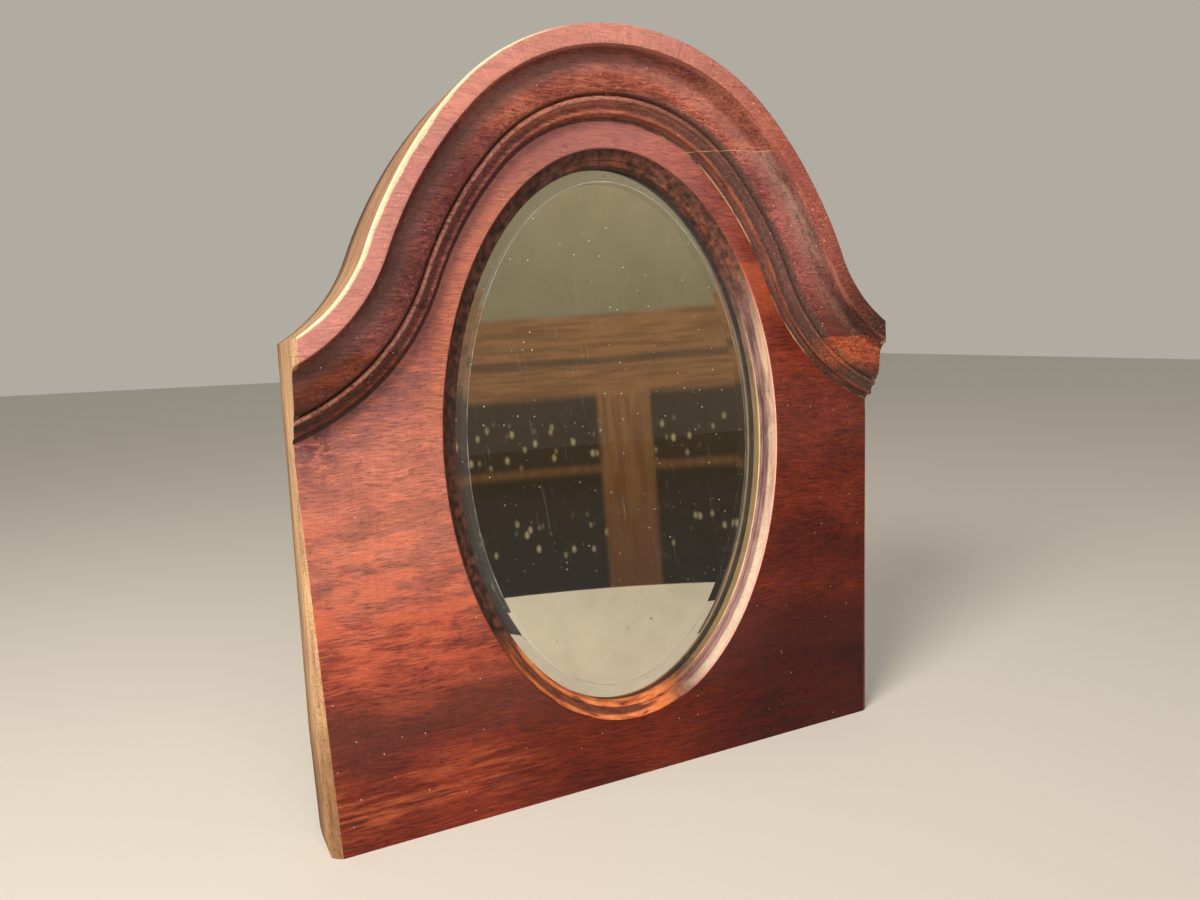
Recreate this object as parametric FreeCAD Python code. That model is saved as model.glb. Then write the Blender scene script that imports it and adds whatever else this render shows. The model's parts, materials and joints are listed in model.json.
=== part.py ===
"""Arched table mirror: a moulded hardwood board with an oval bevelled glass and an easel strut.

Millimetres, +Z up, -Y is the front.  The origin is the middle of the board's foot, on the table.
Every piece is modelled on an upright board whose front face is y = 0 and whose front bottom edge is
z = 0, with its back towards +Y.  stand() then leans the whole thing back onto its bevelled foot.
"""
import FreeCAD, Part
import math
import os
from FreeCAD import Vector

# ---- The oval opening, seen from the front
sight_half_width = 82.4       # the edge of the lip that holds the glass
sight_half_height = 129.5
lip_width = 8.3               # how far the moulded lip widens towards the front face
lip_depth = 9.0               # from the front face back to the glass
land_width = 0.6              # the steep land next to the glass
land_depth = 4.0
band_width = 3.6              # the shallow band between the land and the cove
band_depth = 1.2
arris_width = 0.8             # the eased front arris
arris_depth = 0.6
cove_bulge = 0.8              # how far the lip's cove dips below its own chord

# ---- The plain board around the opening
stile_width = 61.8
base_rail = 28.4
crown_margin = 11.4           # plain face between the opening and the arched moulding
lean = 3.0                    # degrees from upright
side_chamfer = 6.0            # hand-sanded front corner at the foot, running out at the moulding
board_seam_drop = 101.4       # glue line of the crown piece, below the crown's top

# ---- The arched outline: crown arc, shoulder arc, then a concave flare out to the side
crown_sweep = 46.9            # degrees from the top of the crown
shoulder_sweep = 68.4
shoulder_radius = 201.0
flare_radius = 72.3
flare_reach = 36.9            # the flare's centre stands this far outside the board's side

# ---- The applied moulding, from its outer edge inwards
rim_width = 9.2
rim_height = 19.0
rim_arris = 1.0
cove_width = 7.3              # the hollow that falls steeply from the rim
cove_height = 12.0
swell_width = 11.5            # the broad swelling band below the cove
valley_height = 7.0
bead_width = 2.4
bead_height = 7.9
scotia_width = 3.2
fillet_width = 1.8
fillet_height = 4.8
quirk_width = 2.2
end_easing = 2.5              # chamfer across the sawn ends
upper_seam_drop = 49.0        # glue lines of the moulding, below the crown's top
lower_seam_drop = 141.0

# ---- The glass and what holds it
glass_thickness = 5.0
glass_lap = 5.0               # how far the glass reaches behind the lip
bevel_in_sight = 6.2          # width of bevel that shows inside the lip
bevel_depth = 1.5
silvering_thickness = 0.2
card_thickness = 2.5
panel_thickness = 6.0
panel_lap = 12.0              # how far the back panel's rabbet reaches past the sight edge
wedge_gap = 2.0               # room around the glass for its wedges
wedge_length = 12.0
wedge_count = 8
seat_clearance = 0.1
panel_clearance = 0.5

# ---- Turn buttons that hold the back panel in
button_length = 26.0
button_width = 10.0
button_thickness = 1.6
button_setback = 8.0          # from the panel's rabbet out to the screw
button_angle = 30.0           # above and below the oval's middle
button_screw_radius = 1.5
button_screw_length = 12.0
button_head_radius = 3.2
button_head_height = 1.8
turning_clearance = 0.05
sliding_gap = 0.1

# ---- The clevis bracket at the back of the crown
bracket_width = 46.0
bracket_height = 28.0
bracket_plate = 2.0
bracket_margin = 3.5          # from the panel's rabbet up to the bracket
ear_thickness = 2.0
ear_radius = 4.5
pin_radius = 2.0
pin_standoff = 5.5            # from the plate's face out to the pin's axis
pin_head_radius = 3.2
pin_head_thickness = 1.2
washer_radius = 3.8
washer_thickness = 1.0
bracket_screw_radius = 1.6
bracket_screw_head_radius = 3.0
bracket_screw_length = 14.0
bracket_screw_inset = 5.5
bracket_corner = 2.0
slot_width = 0.8              # screwdriver slots
slot_depth = 0.7

# ---- The easel strut
strut_splay = 8.0             # degrees behind the vertical when it stands open
strut_head_width = 16.0
strut_foot_width = 34.0
strut_thickness = 8.0
strut_head_rise = 14.0        # how far the head reaches above the pin
strut_neck = 24.0             # straight length below the pin before it widens
strut_corner = 3.0

# ---- Worked out from the sizes above
spare = 1.0                   # how far a cutting tool runs past what it cuts
bevel_width = bevel_in_sight + glass_lap
bevel_drop = bevel_depth * bevel_in_sight / bevel_width
glass_front = lip_depth + seat_clearance - bevel_drop
glass_back = glass_front + glass_thickness
card_front = glass_back + silvering_thickness
panel_front = card_front + card_thickness
board_thickness = panel_front + panel_thickness

front_half_width = sight_half_width + lip_width
front_half_height = sight_half_height + lip_width
half_width = front_half_width + stile_width
ogee_width = rim_width + cove_width + swell_width
moulding_width = ogee_width + bead_width + scotia_width + fillet_width + quirk_width
oval_middle = base_rail + front_half_height
crown_top = oval_middle + front_half_height + crown_margin + moulding_width
board_seam = crown_top - board_seam_drop
upper_seam = crown_top - upper_seam_drop
lower_seam = crown_top - lower_seam_drop
glass_rabbet = glass_lap + wedge_gap

bracket_middle = oval_middle + sight_half_height + panel_lap + bracket_margin + bracket_height / 2
pin_y = board_thickness + bracket_plate + pin_standoff
strut_opening = lean + strut_splay
ear_inside = strut_head_width / 2 + sliding_gap + washer_thickness
ear_outside = ear_inside + ear_thickness
foot_depth = board_thickness / math.cos(math.radians(lean))

ALONG_X = Vector(1, 0, 0)
ALONG_Y = Vector(0, 1, 0)
ALONG_Z = Vector(0, 0, 1)


# ---- The outline's three arcs
def aim(degrees, radius):
    """The step from an arc's centre, degrees from straight up."""
    turn = math.radians(degrees)
    return Vector(radius * math.sin(turn), 0, radius * math.cos(turn))


def arc_centres():
    """Crown, shoulder and flare centres on the right; the crown's radius makes them meet the side."""
    flare_x = half_width + flare_reach
    shoulder_x = flare_x - aim(shoulder_sweep, shoulder_radius + flare_radius).x
    crown_radius = shoulder_radius + shoulder_x / math.sin(math.radians(crown_sweep))
    crown = Vector(0, 0, crown_top - crown_radius)
    shoulder = crown + aim(crown_sweep, crown_radius - shoulder_radius)
    flare = shoulder + aim(shoulder_sweep, shoulder_radius + flare_radius)
    return crown_radius, crown, shoulder, flare


crown_radius, crown_centre, shoulder_centre, flare_centre = arc_centres()
flare_end_sweep = math.degrees(math.asin(flare_reach / flare_radius))


def outline():
    """The right half of the arched outline as points on its arcs: ends and middles, top to side."""
    half_crown = crown_sweep / 2
    mid_shoulder = (crown_sweep + shoulder_sweep) / 2
    mid_flare = (shoulder_sweep + flare_end_sweep) / 2
    return [
        crown_centre + aim(0, crown_radius),
        crown_centre + aim(half_crown, crown_radius),
        crown_centre + aim(crown_sweep, crown_radius),
        shoulder_centre + aim(mid_shoulder, shoulder_radius),
        shoulder_centre + aim(shoulder_sweep, shoulder_radius),
        flare_centre - aim(mid_flare, flare_radius),
        flare_centre - aim(flare_end_sweep, flare_radius),
    ]


def mirrored(shape):
    """The same shape on the other side of the middle."""
    return shape.mirror(Vector(0, 0, 0), ALONG_X)


def box(x0, x1, y0, y1, z0, z1):
    """A box between six planes."""
    return Part.makeBox(x1 - x0, y1 - y0, z1 - z0, Vector(x0, y0, z0))


def between(low, high):
    """A tool that keeps what lies between two heights, as wide as the board and deeper."""
    front = -rim_height - spare
    return box(-half_width, half_width, front, board_thickness + spare, low, high)


def disc(centre, radius, length, axis):
    """A cylinder from a centre along an axis."""
    return Part.makeCylinder(radius, length, centre, axis)


def stand(shape):
    """Lean an upright piece back about the front bottom edge and centre its foot on the origin."""
    leaned = shape.copy()
    leaned.rotate(Vector(0, 0, 0), ALONG_X, -lean)
    leaned.translate(Vector(0, -foot_depth / 2, 0))
    return leaned


def above_table(shape):
    """Cut a standing shape off flat at the table."""
    reach = 2 * crown_top
    return shape.cut(box(-reach, reach, -reach, reach, -reach, 0))


# ---- Oval tools
def oval(grow, y):
    """The sight oval, grown evenly by a distance, as a closed wire at one depth."""
    middle = Vector(0, y, oval_middle)
    top = middle + Vector(0, 0, sight_half_height + grow)
    side = middle + Vector(sight_half_width + grow, 0, 0)
    return Part.Wire([Part.Ellipse(top, side, middle).toShape()])


def oval_plug(grow, front, back):
    """A straight oval plug between two depths."""
    return Part.Face(oval(grow, front)).extrude(Vector(0, back - front, 0))


def lip_cutter():
    """The moulded lip's hollow, swept round the sight oval: arris, cove, band and land."""
    def at(width, depth):
        return Vector(0, depth, oval_middle + sight_half_height + width)

    land_top = at(land_width, lip_depth - land_depth)
    band_top = at(land_width + band_width, lip_depth - land_depth - band_depth)
    cove_top = at(lip_width - arris_width, arris_depth)
    chord = cove_top - band_top
    into_wood = Vector(0, chord.z, -chord.y).normalize()
    cove_middle = (band_top + cove_top) / 2 + into_wood * cove_bulge
    inside = -2 * lip_width
    edges = [
        Part.LineSegment(at(0, lip_depth), land_top).toShape(),
        Part.LineSegment(land_top, band_top).toShape(),
        Part.Arc(band_top, cove_middle, cove_top).toShape(),
        Part.LineSegment(cove_top, at(lip_width, 0)).toShape(),
        Part.LineSegment(at(lip_width, 0), at(lip_width, -spare)).toShape(),
        Part.LineSegment(at(lip_width, -spare), at(inside, -spare)).toShape(),
        Part.LineSegment(at(inside, -spare), at(inside, lip_depth)).toShape(),
        Part.LineSegment(at(inside, lip_depth), at(0, lip_depth)).toShape(),
    ]
    return oval(0, 0).makePipeShell([Part.Wire(edges)], True, True)


def opening():
    """Everything cut out of the board: the moulded lip, the glass rabbet and the panel rabbet."""
    back = board_thickness + spare
    return [
        oval_plug(0, -spare, back),
        oval_plug(glass_rabbet, lip_depth, back),
        oval_plug(panel_lap, panel_front, back),
        lip_cutter(),
    ]


# ---- The board
def board_blank():
    """The arched board before anything is cut out of it."""
    right = outline()
    left = [Vector(-point.x, 0, point.z) for point in right]
    foot_right = Vector(half_width, 0, 0)
    foot_left = Vector(-half_width, 0, 0)
    edges = [
        Part.Arc(left[2], left[0], right[2]).toShape(),
        Part.Arc(right[2], right[3], right[4]).toShape(),
        Part.Arc(right[4], right[5], right[6]).toShape(),
        Part.LineSegment(right[6], foot_right).toShape(),
        Part.LineSegment(foot_right, foot_left).toShape(),
        Part.LineSegment(foot_left, left[6]).toShape(),
        Part.Arc(left[6], left[5], left[4]).toShape(),
        Part.Arc(left[4], left[3], left[2]).toShape(),
    ]
    return Part.Face(Part.Wire(edges)).extrude(Vector(0, board_thickness, 0))


def moulding_foot():
    """The height at which the moulding's inner edge meets the board's side."""
    return flare_centre.z - math.sqrt((flare_radius + moulding_width) ** 2 - flare_reach ** 2)


def corner_tool():
    """The sanded front corner: a flat cut, widest at the foot, that runs out at the moulding."""
    inner = Vector(half_width - side_chamfer, 0, 0)
    outer = Vector(half_width, side_chamfer, 0)
    top = Vector(half_width, 0, moulding_foot())
    outward = (outer - inner).cross(top - inner).normalize()
    reach = 2 * crown_top
    face = Part.Plane(inner, outward).toShape(-reach, reach, -reach, reach)
    return face.extrude(outward * side_chamfer)


def board():
    """The whole board, before it is split at its glue line."""
    shape = board_blank()
    tools = opening() + button_pilots() + bracket_pilots()
    for tool in tools + [corner_tool(), mirrored(corner_tool())]:
        shape = shape.cut(tool)
    return shape


# ---- The applied moulding
def quarter(start, end, corner):
    """A quarter ellipse between two points, about the corner that it turns round."""
    long_end, short_end = start, end
    if (end - corner).Length > (start - corner).Length:
        long_end, short_end = end, start
    ellipse = Part.Ellipse(long_end, short_end, corner)
    return Part.ArcOfEllipse(ellipse, 0, math.pi / 2).toShape()


def moulding_section(centre, outer_edge):
    """The moulding's section straight above or below an arc's centre, outer_edge away from it."""
    def at(inset, height):
        return centre + Vector(0, -height, outer_edge - inset)

    cove_end = rim_width + cove_width
    bead_end = ogee_width + bead_width
    scotia_end = bead_end + scotia_width
    fillet_end = scotia_end + fillet_width
    rim = [at(0, 0), at(0, rim_height - rim_arris), at(rim_arris, rim_height)]
    rim.append(at(rim_width, rim_height))
    cove_foot = at(cove_end, cove_height)
    valley = at(ogee_width, valley_height)
    bead = [valley, at(ogee_width, bead_height), at(bead_end, bead_height)]
    scotia_foot = at(scotia_end, fillet_height)
    fillet = at(fillet_end, fillet_height)
    foot = at(moulding_width, 0)
    edges = [
        Part.makePolygon(rim),
        quarter(rim[-1], cove_foot, at(cove_end, rim_height)),
        quarter(cove_foot, valley, at(cove_end, valley_height)),
        Part.makePolygon(bead),
        quarter(bead[-1], scotia_foot, at(scotia_end, bead_height)),
        Part.makePolygon([scotia_foot, fillet]),
        quarter(fillet, foot, at(moulding_width, fillet_height)),
        Part.makePolygon([foot, rim[0]]),
    ]
    return Part.Face(Part.Wire(edges))


def moulding_run(centre, outer_edge, start, end):
    """The moulding's section swept round one arc of the outline, between two angles."""
    section = moulding_section(centre, outer_edge)
    section.rotate(centre, ALONG_Y, start)
    return section.revolve(centre, ALONG_Y, end - start)


def moulding():
    """The whole moulding, sawn off flush with the board's sides and eased across the sawn ends."""
    past_side = math.asin((flare_reach - spare) / (flare_radius + moulding_width))
    crown = moulding_run(crown_centre, crown_radius, -crown_sweep, crown_sweep)
    shoulder = moulding_run(shoulder_centre, shoulder_radius, crown_sweep, shoulder_sweep)
    flare = moulding_run(flare_centre, -flare_radius, shoulder_sweep, math.degrees(past_side))
    side = shoulder.fuse(flare)
    whole = crown.fuse([side, mirrored(side)]).common(between(0, crown_top + spare))
    for tool in [end_tool(), mirrored(end_tool())]:
        whole = whole.cut(tool)
    return whole


def end_tool():
    """The chamfer across one sawn end of the moulding."""
    inner = half_width - end_easing - spare
    outer = half_width + spare
    front = -rim_height - spare
    back = front + outer - inner
    corners = [Vector(inner, front, 0), Vector(outer, front, 0), Vector(outer, back, 0)]
    face = Part.Face(Part.makePolygon(corners + corners[:1]))
    return face.extrude(ALONG_Z * crown_top)


def moulding_lengths():
    """The moulding as it was glued on: crest, two flanks and two feet."""
    whole = moulding()
    left = box(-half_width, 0, -rim_height - spare, spare, 0, crown_top)
    right = mirrored(left)
    flanks = whole.common(between(lower_seam, upper_seam))
    feet = whole.common(between(0, lower_seam))
    return {
        "crest_moulding": whole.common(between(upper_seam, crown_top + spare)),
        "left_flank_moulding": flanks.common(left),
        "right_flank_moulding": flanks.common(right),
        "left_foot_moulding": feet.common(left),
        "right_foot_moulding": feet.common(right),
    }


# ---- The glass and its packing
def mirror_glass():
    """The glass: a straight-edged oval whose front is bevelled down towards its edge."""
    bevel_edge = glass_front + bevel_depth
    bevel = [oval(-bevel_in_sight, glass_front), oval(glass_lap, bevel_edge)]
    return Part.makeLoft(bevel, True, True).fuse(oval_plug(glass_lap, bevel_edge, glass_back))


def glass_wedges():
    """Short softwood wedges between the edge of the glass and the rabbet's wall."""
    front = lip_depth + seat_clearance
    ring = oval_plug(glass_rabbet - seat_clearance, front, glass_back)
    ring = ring.cut(oval_plug(glass_lap + seat_clearance, front, glass_back))
    middle = Vector(0, 0, oval_middle)
    half = wedge_length / 2
    wedges = []
    for number in range(wedge_count):
        tool = box(-half, half, 0, board_thickness, oval_middle, 2 * crown_top)
        tool.rotate(middle, ALONG_Y, (number + 0.5) * 360 / wedge_count)
        wedges.append(ring.common(tool))
    return Part.makeCompound(wedges)


# ---- Screws
def slot(head_top, radius):
    """A screwdriver slot across the top of a head that faces the back."""
    x, y, z = head_top
    return box(x - radius, x + radius, y - slot_depth, y + spare, z - slot_width / 2, z + slot_width / 2)


def button_places():
    """Where each turn button is screwed on, and the angle from straight up at which it points."""
    grow = panel_lap + button_setback
    across = sight_half_width + grow
    up = sight_half_height + grow
    places = []
    for side in (1, -1):
        for turn in (button_angle, -button_angle):
            x = side * across * math.cos(math.radians(turn))
            rise = up * math.sin(math.radians(turn))
            inward = math.degrees(math.atan2(-x / across ** 2, -rise / up ** 2))
            places.append((Vector(x, board_thickness, oval_middle + rise), inward))
    return places


def turn_button(place, inward):
    """A round-ended metal tab that turns about its screw; it points over the back panel."""
    reach = button_length - button_width
    half = button_width / 2
    back = Vector(0, button_thickness, 0)
    tab = box(-half, half, 0, button_thickness, 0, reach)
    tab = tab.fuse([disc(Vector(0, 0, 0), half, button_thickness, ALONG_Y),
                    disc(Vector(0, 0, reach), half, button_thickness, ALONG_Y)]).removeSplitter()
    hole = button_screw_radius + turning_clearance
    tab = tab.cut(disc(-back, hole, 3 * button_thickness, ALONG_Y))
    tab.rotate(Vector(0, 0, 0), ALONG_Y, inward)
    tab.translate(place + ALONG_Y * sliding_gap)
    return tab


def button_screw(place):
    """A round-head screw through one turn button into the board."""
    head_base = place + ALONG_Y * (button_thickness + 2 * sliding_gap)
    shank_start = place - ALONG_Y * button_screw_length
    shank = disc(shank_start, button_screw_radius, (head_base - shank_start).Length, ALONG_Y)
    head = disc(head_base, button_head_radius, button_head_height, ALONG_Y)
    middle = head.CenterOfMass.y
    rim = [edge for edge in head.Edges if edge.Closed and edge.CenterOfMass.y > middle]
    head = head.makeFillet(button_head_height / 2, rim)
    return shank.fuse(head).cut(slot(head_base + ALONG_Y * button_head_height, button_head_radius))


def button_pilots():
    """The holes in the board for the turn buttons' screws."""
    radius = button_screw_radius + turning_clearance
    depth = button_screw_length + turning_clearance
    return [disc(place - ALONG_Y * depth, radius, depth + spare, ALONG_Y)
            for place, _ in button_places()]


def bracket_screw_places():
    """The four holes in the bracket's plate, outside its ears."""
    x = bracket_width / 2 - bracket_screw_inset
    z = bracket_height / 2 - bracket_screw_inset
    face = board_thickness + bracket_plate
    return [Vector(side * x, face, bracket_middle + end * z) for side in (1, -1) for end in (1, -1)]


def bracket_screw(place, grow):
    """A countersunk screw flush with the plate, or the hole for it where grow is a clearance."""
    shank = disc(place - ALONG_Y * (bracket_screw_length + grow), bracket_screw_radius + grow,
                 bracket_screw_length + grow, ALONG_Y)
    depth = bracket_screw_head_radius - bracket_screw_radius
    cone = Part.makeCone(bracket_screw_radius + grow, bracket_screw_head_radius + grow, depth,
                         place - ALONG_Y * depth, ALONG_Y)
    return shank.fuse(cone)


def bracket_pilots():
    """The holes in the board for the bracket's screws."""
    return [bracket_screw(place, turning_clearance) for place in bracket_screw_places()]


# ---- The bracket, its pin and the strut
def strut_bracket():
    """A plate screwed to the crown piece, with two ears that carry the pin."""
    half = bracket_width / 2
    low = bracket_middle - bracket_height / 2
    face = board_thickness + bracket_plate
    plate = box(-half, half, board_thickness, face, low, low + bracket_height)
    upright = [edge for edge in plate.Edges if abs(edge.tangentAt(edge.FirstParameter).y) > 0.5]
    plate = plate.makeFillet(bracket_corner, upright)
    ear = box(ear_inside, ear_outside, face, pin_y, bracket_middle - ear_radius, bracket_middle + ear_radius)
    ear = ear.fuse(disc(pin_point(ear_inside), ear_radius, ear_thickness, ALONG_X)).removeSplitter()
    bracket = plate.fuse([ear, mirrored(ear)])
    bore = disc(pin_point(-half), pin_radius + turning_clearance, bracket_width, ALONG_X)
    for tool in [bore] + bracket_pilots():
        bracket = bracket.cut(tool)
    return bracket


def pin_point(x):
    """A point on the pin's axis."""
    return Vector(x, pin_y, bracket_middle)


def pivot_pin():
    """A pin riveted over outside both ears."""
    shank = disc(pin_point(-ear_outside), pin_radius, 2 * ear_outside, ALONG_X)
    head = disc(pin_point(ear_outside), pin_head_radius, pin_head_thickness, ALONG_X)
    return shank.fuse([head, mirrored(head)])


def pivot_washers():
    """One washer on each side of the strut's head."""
    start = pin_point(ear_inside - washer_thickness)
    washer = disc(start, washer_radius, washer_thickness, ALONG_X)
    washer = washer.cut(disc(start, pin_radius + turning_clearance, washer_thickness, ALONG_X))
    return Part.makeCompound([washer, mirrored(washer)])


def strut():
    """The leg, opened until its bevelled head meets the bracket's plate, and cut off at the table."""
    head = strut_head_width / 2
    foot = strut_foot_width / 2
    front = pin_y - strut_thickness / 2
    top = bracket_middle + strut_head_rise
    right = [
        Vector(head - strut_corner, front, top),
        Vector(head, front, top - strut_corner),
        Vector(head, front, bracket_middle - strut_neck),
        Vector(foot, front, 0),
        Vector(foot, front, -board_thickness),
    ]
    left = [Vector(-point.x, point.y, point.z) for point in reversed(right)]
    blank = Part.Face(Part.makePolygon(right + left + right[:1])).extrude(ALONG_Y * strut_thickness)
    bore = disc(pin_point(-strut_foot_width), pin_radius + turning_clearance, 2 * strut_foot_width, ALONG_X)
    leg = blank.cut(bore)
    leg.rotate(pin_point(0), ALONG_X, strut_opening)
    reach = 2 * crown_top
    stop = board_thickness + bracket_plate + sliding_gap
    leg = leg.cut(box(-reach, reach, -reach, stop, -reach, reach))
    return above_table(stand(leg))


# ---- Every piece, standing on the table
def pieces():
    """The standing pieces by name."""
    whole = board()
    named = {
        "base_board": whole.common(between(0, board_seam)),
        "crown_board": whole.common(between(board_seam, crown_top + spare)),
        "mirror_glass": mirror_glass(),
        "mirror_silvering": oval_plug(glass_lap, glass_back, card_front),
        "packing_card": oval_plug(glass_lap, card_front, panel_front),
        "glass_wedges": glass_wedges(),
        "back_panel": oval_plug(panel_lap - panel_clearance, panel_front, board_thickness),
        "strut_bracket": strut_bracket(),
        "pivot_pin": pivot_pin(),
        "pivot_washers": pivot_washers(),
    }
    named.update(moulding_lengths())
    places = button_places()
    for number, (place, inward) in enumerate(places, start=1):
        named["turn_button_%d" % number] = turn_button(place, inward)
    named["turn_button_screws"] = Part.makeCompound([button_screw(place) for place, _ in places])
    screws = []
    for place in bracket_screw_places():
        screws.append(bracket_screw(place, 0).cut(slot(place, bracket_screw_head_radius)))
    named["bracket_screws"] = Part.makeCompound(screws)
    standing = {name: stand(shape) for name, shape in named.items()}
    standing["base_board"] = above_table(standing["base_board"])
    standing["easel_strut"] = strut()
    return standing


os.makedirs("parts", exist_ok=True)
for name, shape in pieces().items():
    shape.exportStep("parts/%s.step" % name)
    print("%-22s solids %d valid %s volume %.0f" % (name, len(shape.Solids), shape.isValid(), shape.Volume))
pin = stand(Part.Vertex(pin_point(0))).Point
print("pin", pin.x, pin.y, pin.z, "foot depth", foot_depth, "crown top", crown_top)
for place, _ in button_places():
    print("button", stand(Part.Vertex(place)).Point)
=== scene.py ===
# %% [markdown]
# # An arched table mirror
# The real object is one thick board of stained mahogany with an oval hole in it. A bevelled oval
# glass sits in a rabbet behind the hole, and a moulding is glued over the arch. At the back, turn
# buttons hold a plywood panel in, and an easel strut hangs from a brass bracket. The solids that
# carry all this come first, as a fixed frame, and every piece that is modelled below takes its
# place and size from them.

# %% Load the frame
import json
import math

import bmesh
import bpy
from bmesh.types import BMEdge, BMFace, BMVert
from mathutils import Matrix, Vector, noise


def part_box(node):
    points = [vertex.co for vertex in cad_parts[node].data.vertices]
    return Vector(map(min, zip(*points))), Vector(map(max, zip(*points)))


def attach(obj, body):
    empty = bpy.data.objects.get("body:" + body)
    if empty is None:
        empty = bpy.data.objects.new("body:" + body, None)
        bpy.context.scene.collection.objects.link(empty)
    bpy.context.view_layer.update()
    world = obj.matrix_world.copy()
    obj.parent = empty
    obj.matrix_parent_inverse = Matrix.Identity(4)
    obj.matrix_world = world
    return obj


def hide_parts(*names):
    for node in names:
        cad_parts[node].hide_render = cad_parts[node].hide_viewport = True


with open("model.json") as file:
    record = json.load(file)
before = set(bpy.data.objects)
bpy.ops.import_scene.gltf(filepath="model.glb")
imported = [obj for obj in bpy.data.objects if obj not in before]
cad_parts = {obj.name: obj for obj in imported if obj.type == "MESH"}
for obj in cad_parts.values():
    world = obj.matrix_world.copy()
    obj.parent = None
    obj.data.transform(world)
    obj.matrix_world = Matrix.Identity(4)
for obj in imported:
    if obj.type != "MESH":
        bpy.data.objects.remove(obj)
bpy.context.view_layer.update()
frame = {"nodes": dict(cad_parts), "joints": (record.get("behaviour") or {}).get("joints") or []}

# %% [markdown]
# ## Upright coordinates
# The board leans back a few degrees, which makes every outline awkward to describe. So each piece
# is drawn on an upright board, whose front face is y = 0 and whose front bottom edge is z = 0,
# and one matrix leans the finished mesh back. The lean is read from the axis of a turn button,
# which stands square to the board, and the sizes are read from the solids.

# %% Upright coordinates and the sizes that the frame gives
MM = 0.001
joint_axis = {joint["name"]: Vector(joint["axis"]) for joint in frame["joints"]}
board_normal = joint_axis["button_1_turn"]
LEAN = math.atan2(-board_normal.z, board_normal.y)
STAND = Matrix.Translation((0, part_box("base_board")[0].y, 0)) @ Matrix.Rotation(-LEAN, 4, "X")
TO_UPRIGHT = STAND.inverted()


def upright_box(node):
    """Lowest and highest corner of a solid, measured on the upright board."""
    points = [TO_UPRIGHT @ vertex.co for vertex in frame["nodes"][node].data.vertices]
    low = Vector(min(point[axis] for point in points) for axis in range(3))
    high = Vector(max(point[axis] for point in points) for axis in range(3))
    return low, high


glass_low, glass_high = upright_box("mirror_glass")
HALF_WIDTH = upright_box("base_board")[1].x
THICKNESS = upright_box("crown_board")[1].y
CROWN_TOP = upright_box("crown_board")[1].z
BOARD_SEAM = upright_box("crown_board")[0].z
UPPER_SEAM = upright_box("crest_moulding")[0].z
LOWER_SEAM = upright_box("right_flank_moulding")[0].z
OVAL_MIDDLE = (glass_low.z + glass_high.z) / 2
SIGHT_WIDTH = 82.4 * MM
SIGHT_HEIGHT = 129.5 * MM
print("lean", round(math.degrees(LEAN), 2), "half width", round(HALF_WIDTH, 4), "top",
      round(CROWN_TOP, 4))
print("seams", round(BOARD_SEAM, 4), round(UPPER_SEAM, 4), round(LOWER_SEAM, 4))

# %% [markdown]
# ## The drawing of the outline
# The arch is three arcs on each side that run into each other: a crown, a flatter shoulder, and a
# hollow flare that turns out to the side. Only their radii and the angles where they meet are
# chosen. The centres follow from those and from the board's width, as they do on a workshop's
# template.

# %% Arcs of the outline
CROWN_SWEEP = math.radians(46.9)
SHOULDER_SWEEP = math.radians(68.4)
SHOULDER_RADIUS = 201 * MM
FLARE_RADIUS = 72.3 * MM
FLARE_REACH = 36.9 * MM


def aim(angle, radius):
    """A step of one radius, at an angle from straight up, across the board's face."""
    return Vector((radius * math.sin(angle), 0, radius * math.cos(angle)))


shoulder_x = HALF_WIDTH + FLARE_REACH - aim(SHOULDER_SWEEP, SHOULDER_RADIUS + FLARE_RADIUS).x
CROWN_RADIUS = SHOULDER_RADIUS + shoulder_x / math.sin(CROWN_SWEEP)
CROWN_CENTRE = Vector((0, 0, CROWN_TOP - CROWN_RADIUS))
SHOULDER_CENTRE = CROWN_CENTRE + aim(CROWN_SWEEP, CROWN_RADIUS - SHOULDER_RADIUS)
FLARE_CENTRE = SHOULDER_CENTRE + aim(SHOULDER_SWEEP, SHOULDER_RADIUS + FLARE_RADIUS)
print("crown radius", round(CROWN_RADIUS, 4), "flare centre", [round(v, 4) for v in FLARE_CENTRE])


def place_on_arch(point):
    """How far along the arch from its top a point lies, and how far in from the outer edge."""
    x, z = abs(point.x), point.z
    crown = Vector((x, 0, z)) - CROWN_CENTRE
    angle = math.atan2(crown.x, crown.z)
    if angle < CROWN_SWEEP:
        return math.copysign(angle * CROWN_RADIUS, point.x), CROWN_RADIUS - crown.length
    start = CROWN_SWEEP * CROWN_RADIUS
    shoulder = Vector((x, 0, z)) - SHOULDER_CENTRE
    angle = math.atan2(shoulder.x, shoulder.z)
    if angle < SHOULDER_SWEEP:
        along = start + (angle - CROWN_SWEEP) * SHOULDER_RADIUS
        return math.copysign(along, point.x), SHOULDER_RADIUS - shoulder.length
    start += (SHOULDER_SWEEP - CROWN_SWEEP) * SHOULDER_RADIUS
    flare = FLARE_CENTRE - Vector((x, 0, z))
    angle = math.atan2(flare.x, flare.z)
    along = start + (SHOULDER_SWEEP - angle) * FLARE_RADIUS
    return math.copysign(along, point.x), flare.length - FLARE_RADIUS


# %% [markdown]
# ## Helpers for the meshes
# Blender's own operators make the shapes. A spin turns a drawn line about a centre, as a scratch
# stock does along a template. An extrude and a transform make each next ring of an oval. A bisect
# is a saw cut, and because it leaves the mesh open, the cut face is filled at once.

# %% Helpers for whole meshes
MERGE = 1e-7
KERF = 0.04 * MM


def everything(mesh):
    """All of a bmesh's elements, as the operators want them."""
    return mesh.verts[:] + mesh.edges[:] + mesh.faces[:]


def only(kind, items):
    """The vertices, edges or faces among what an operator hands back."""
    return [item for item in items if isinstance(item, kind)]


def turn_outwards(mesh):
    """Make every face look out of the solid."""
    bmesh.ops.recalc_face_normals(mesh, faces=mesh.faces[:])


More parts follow.
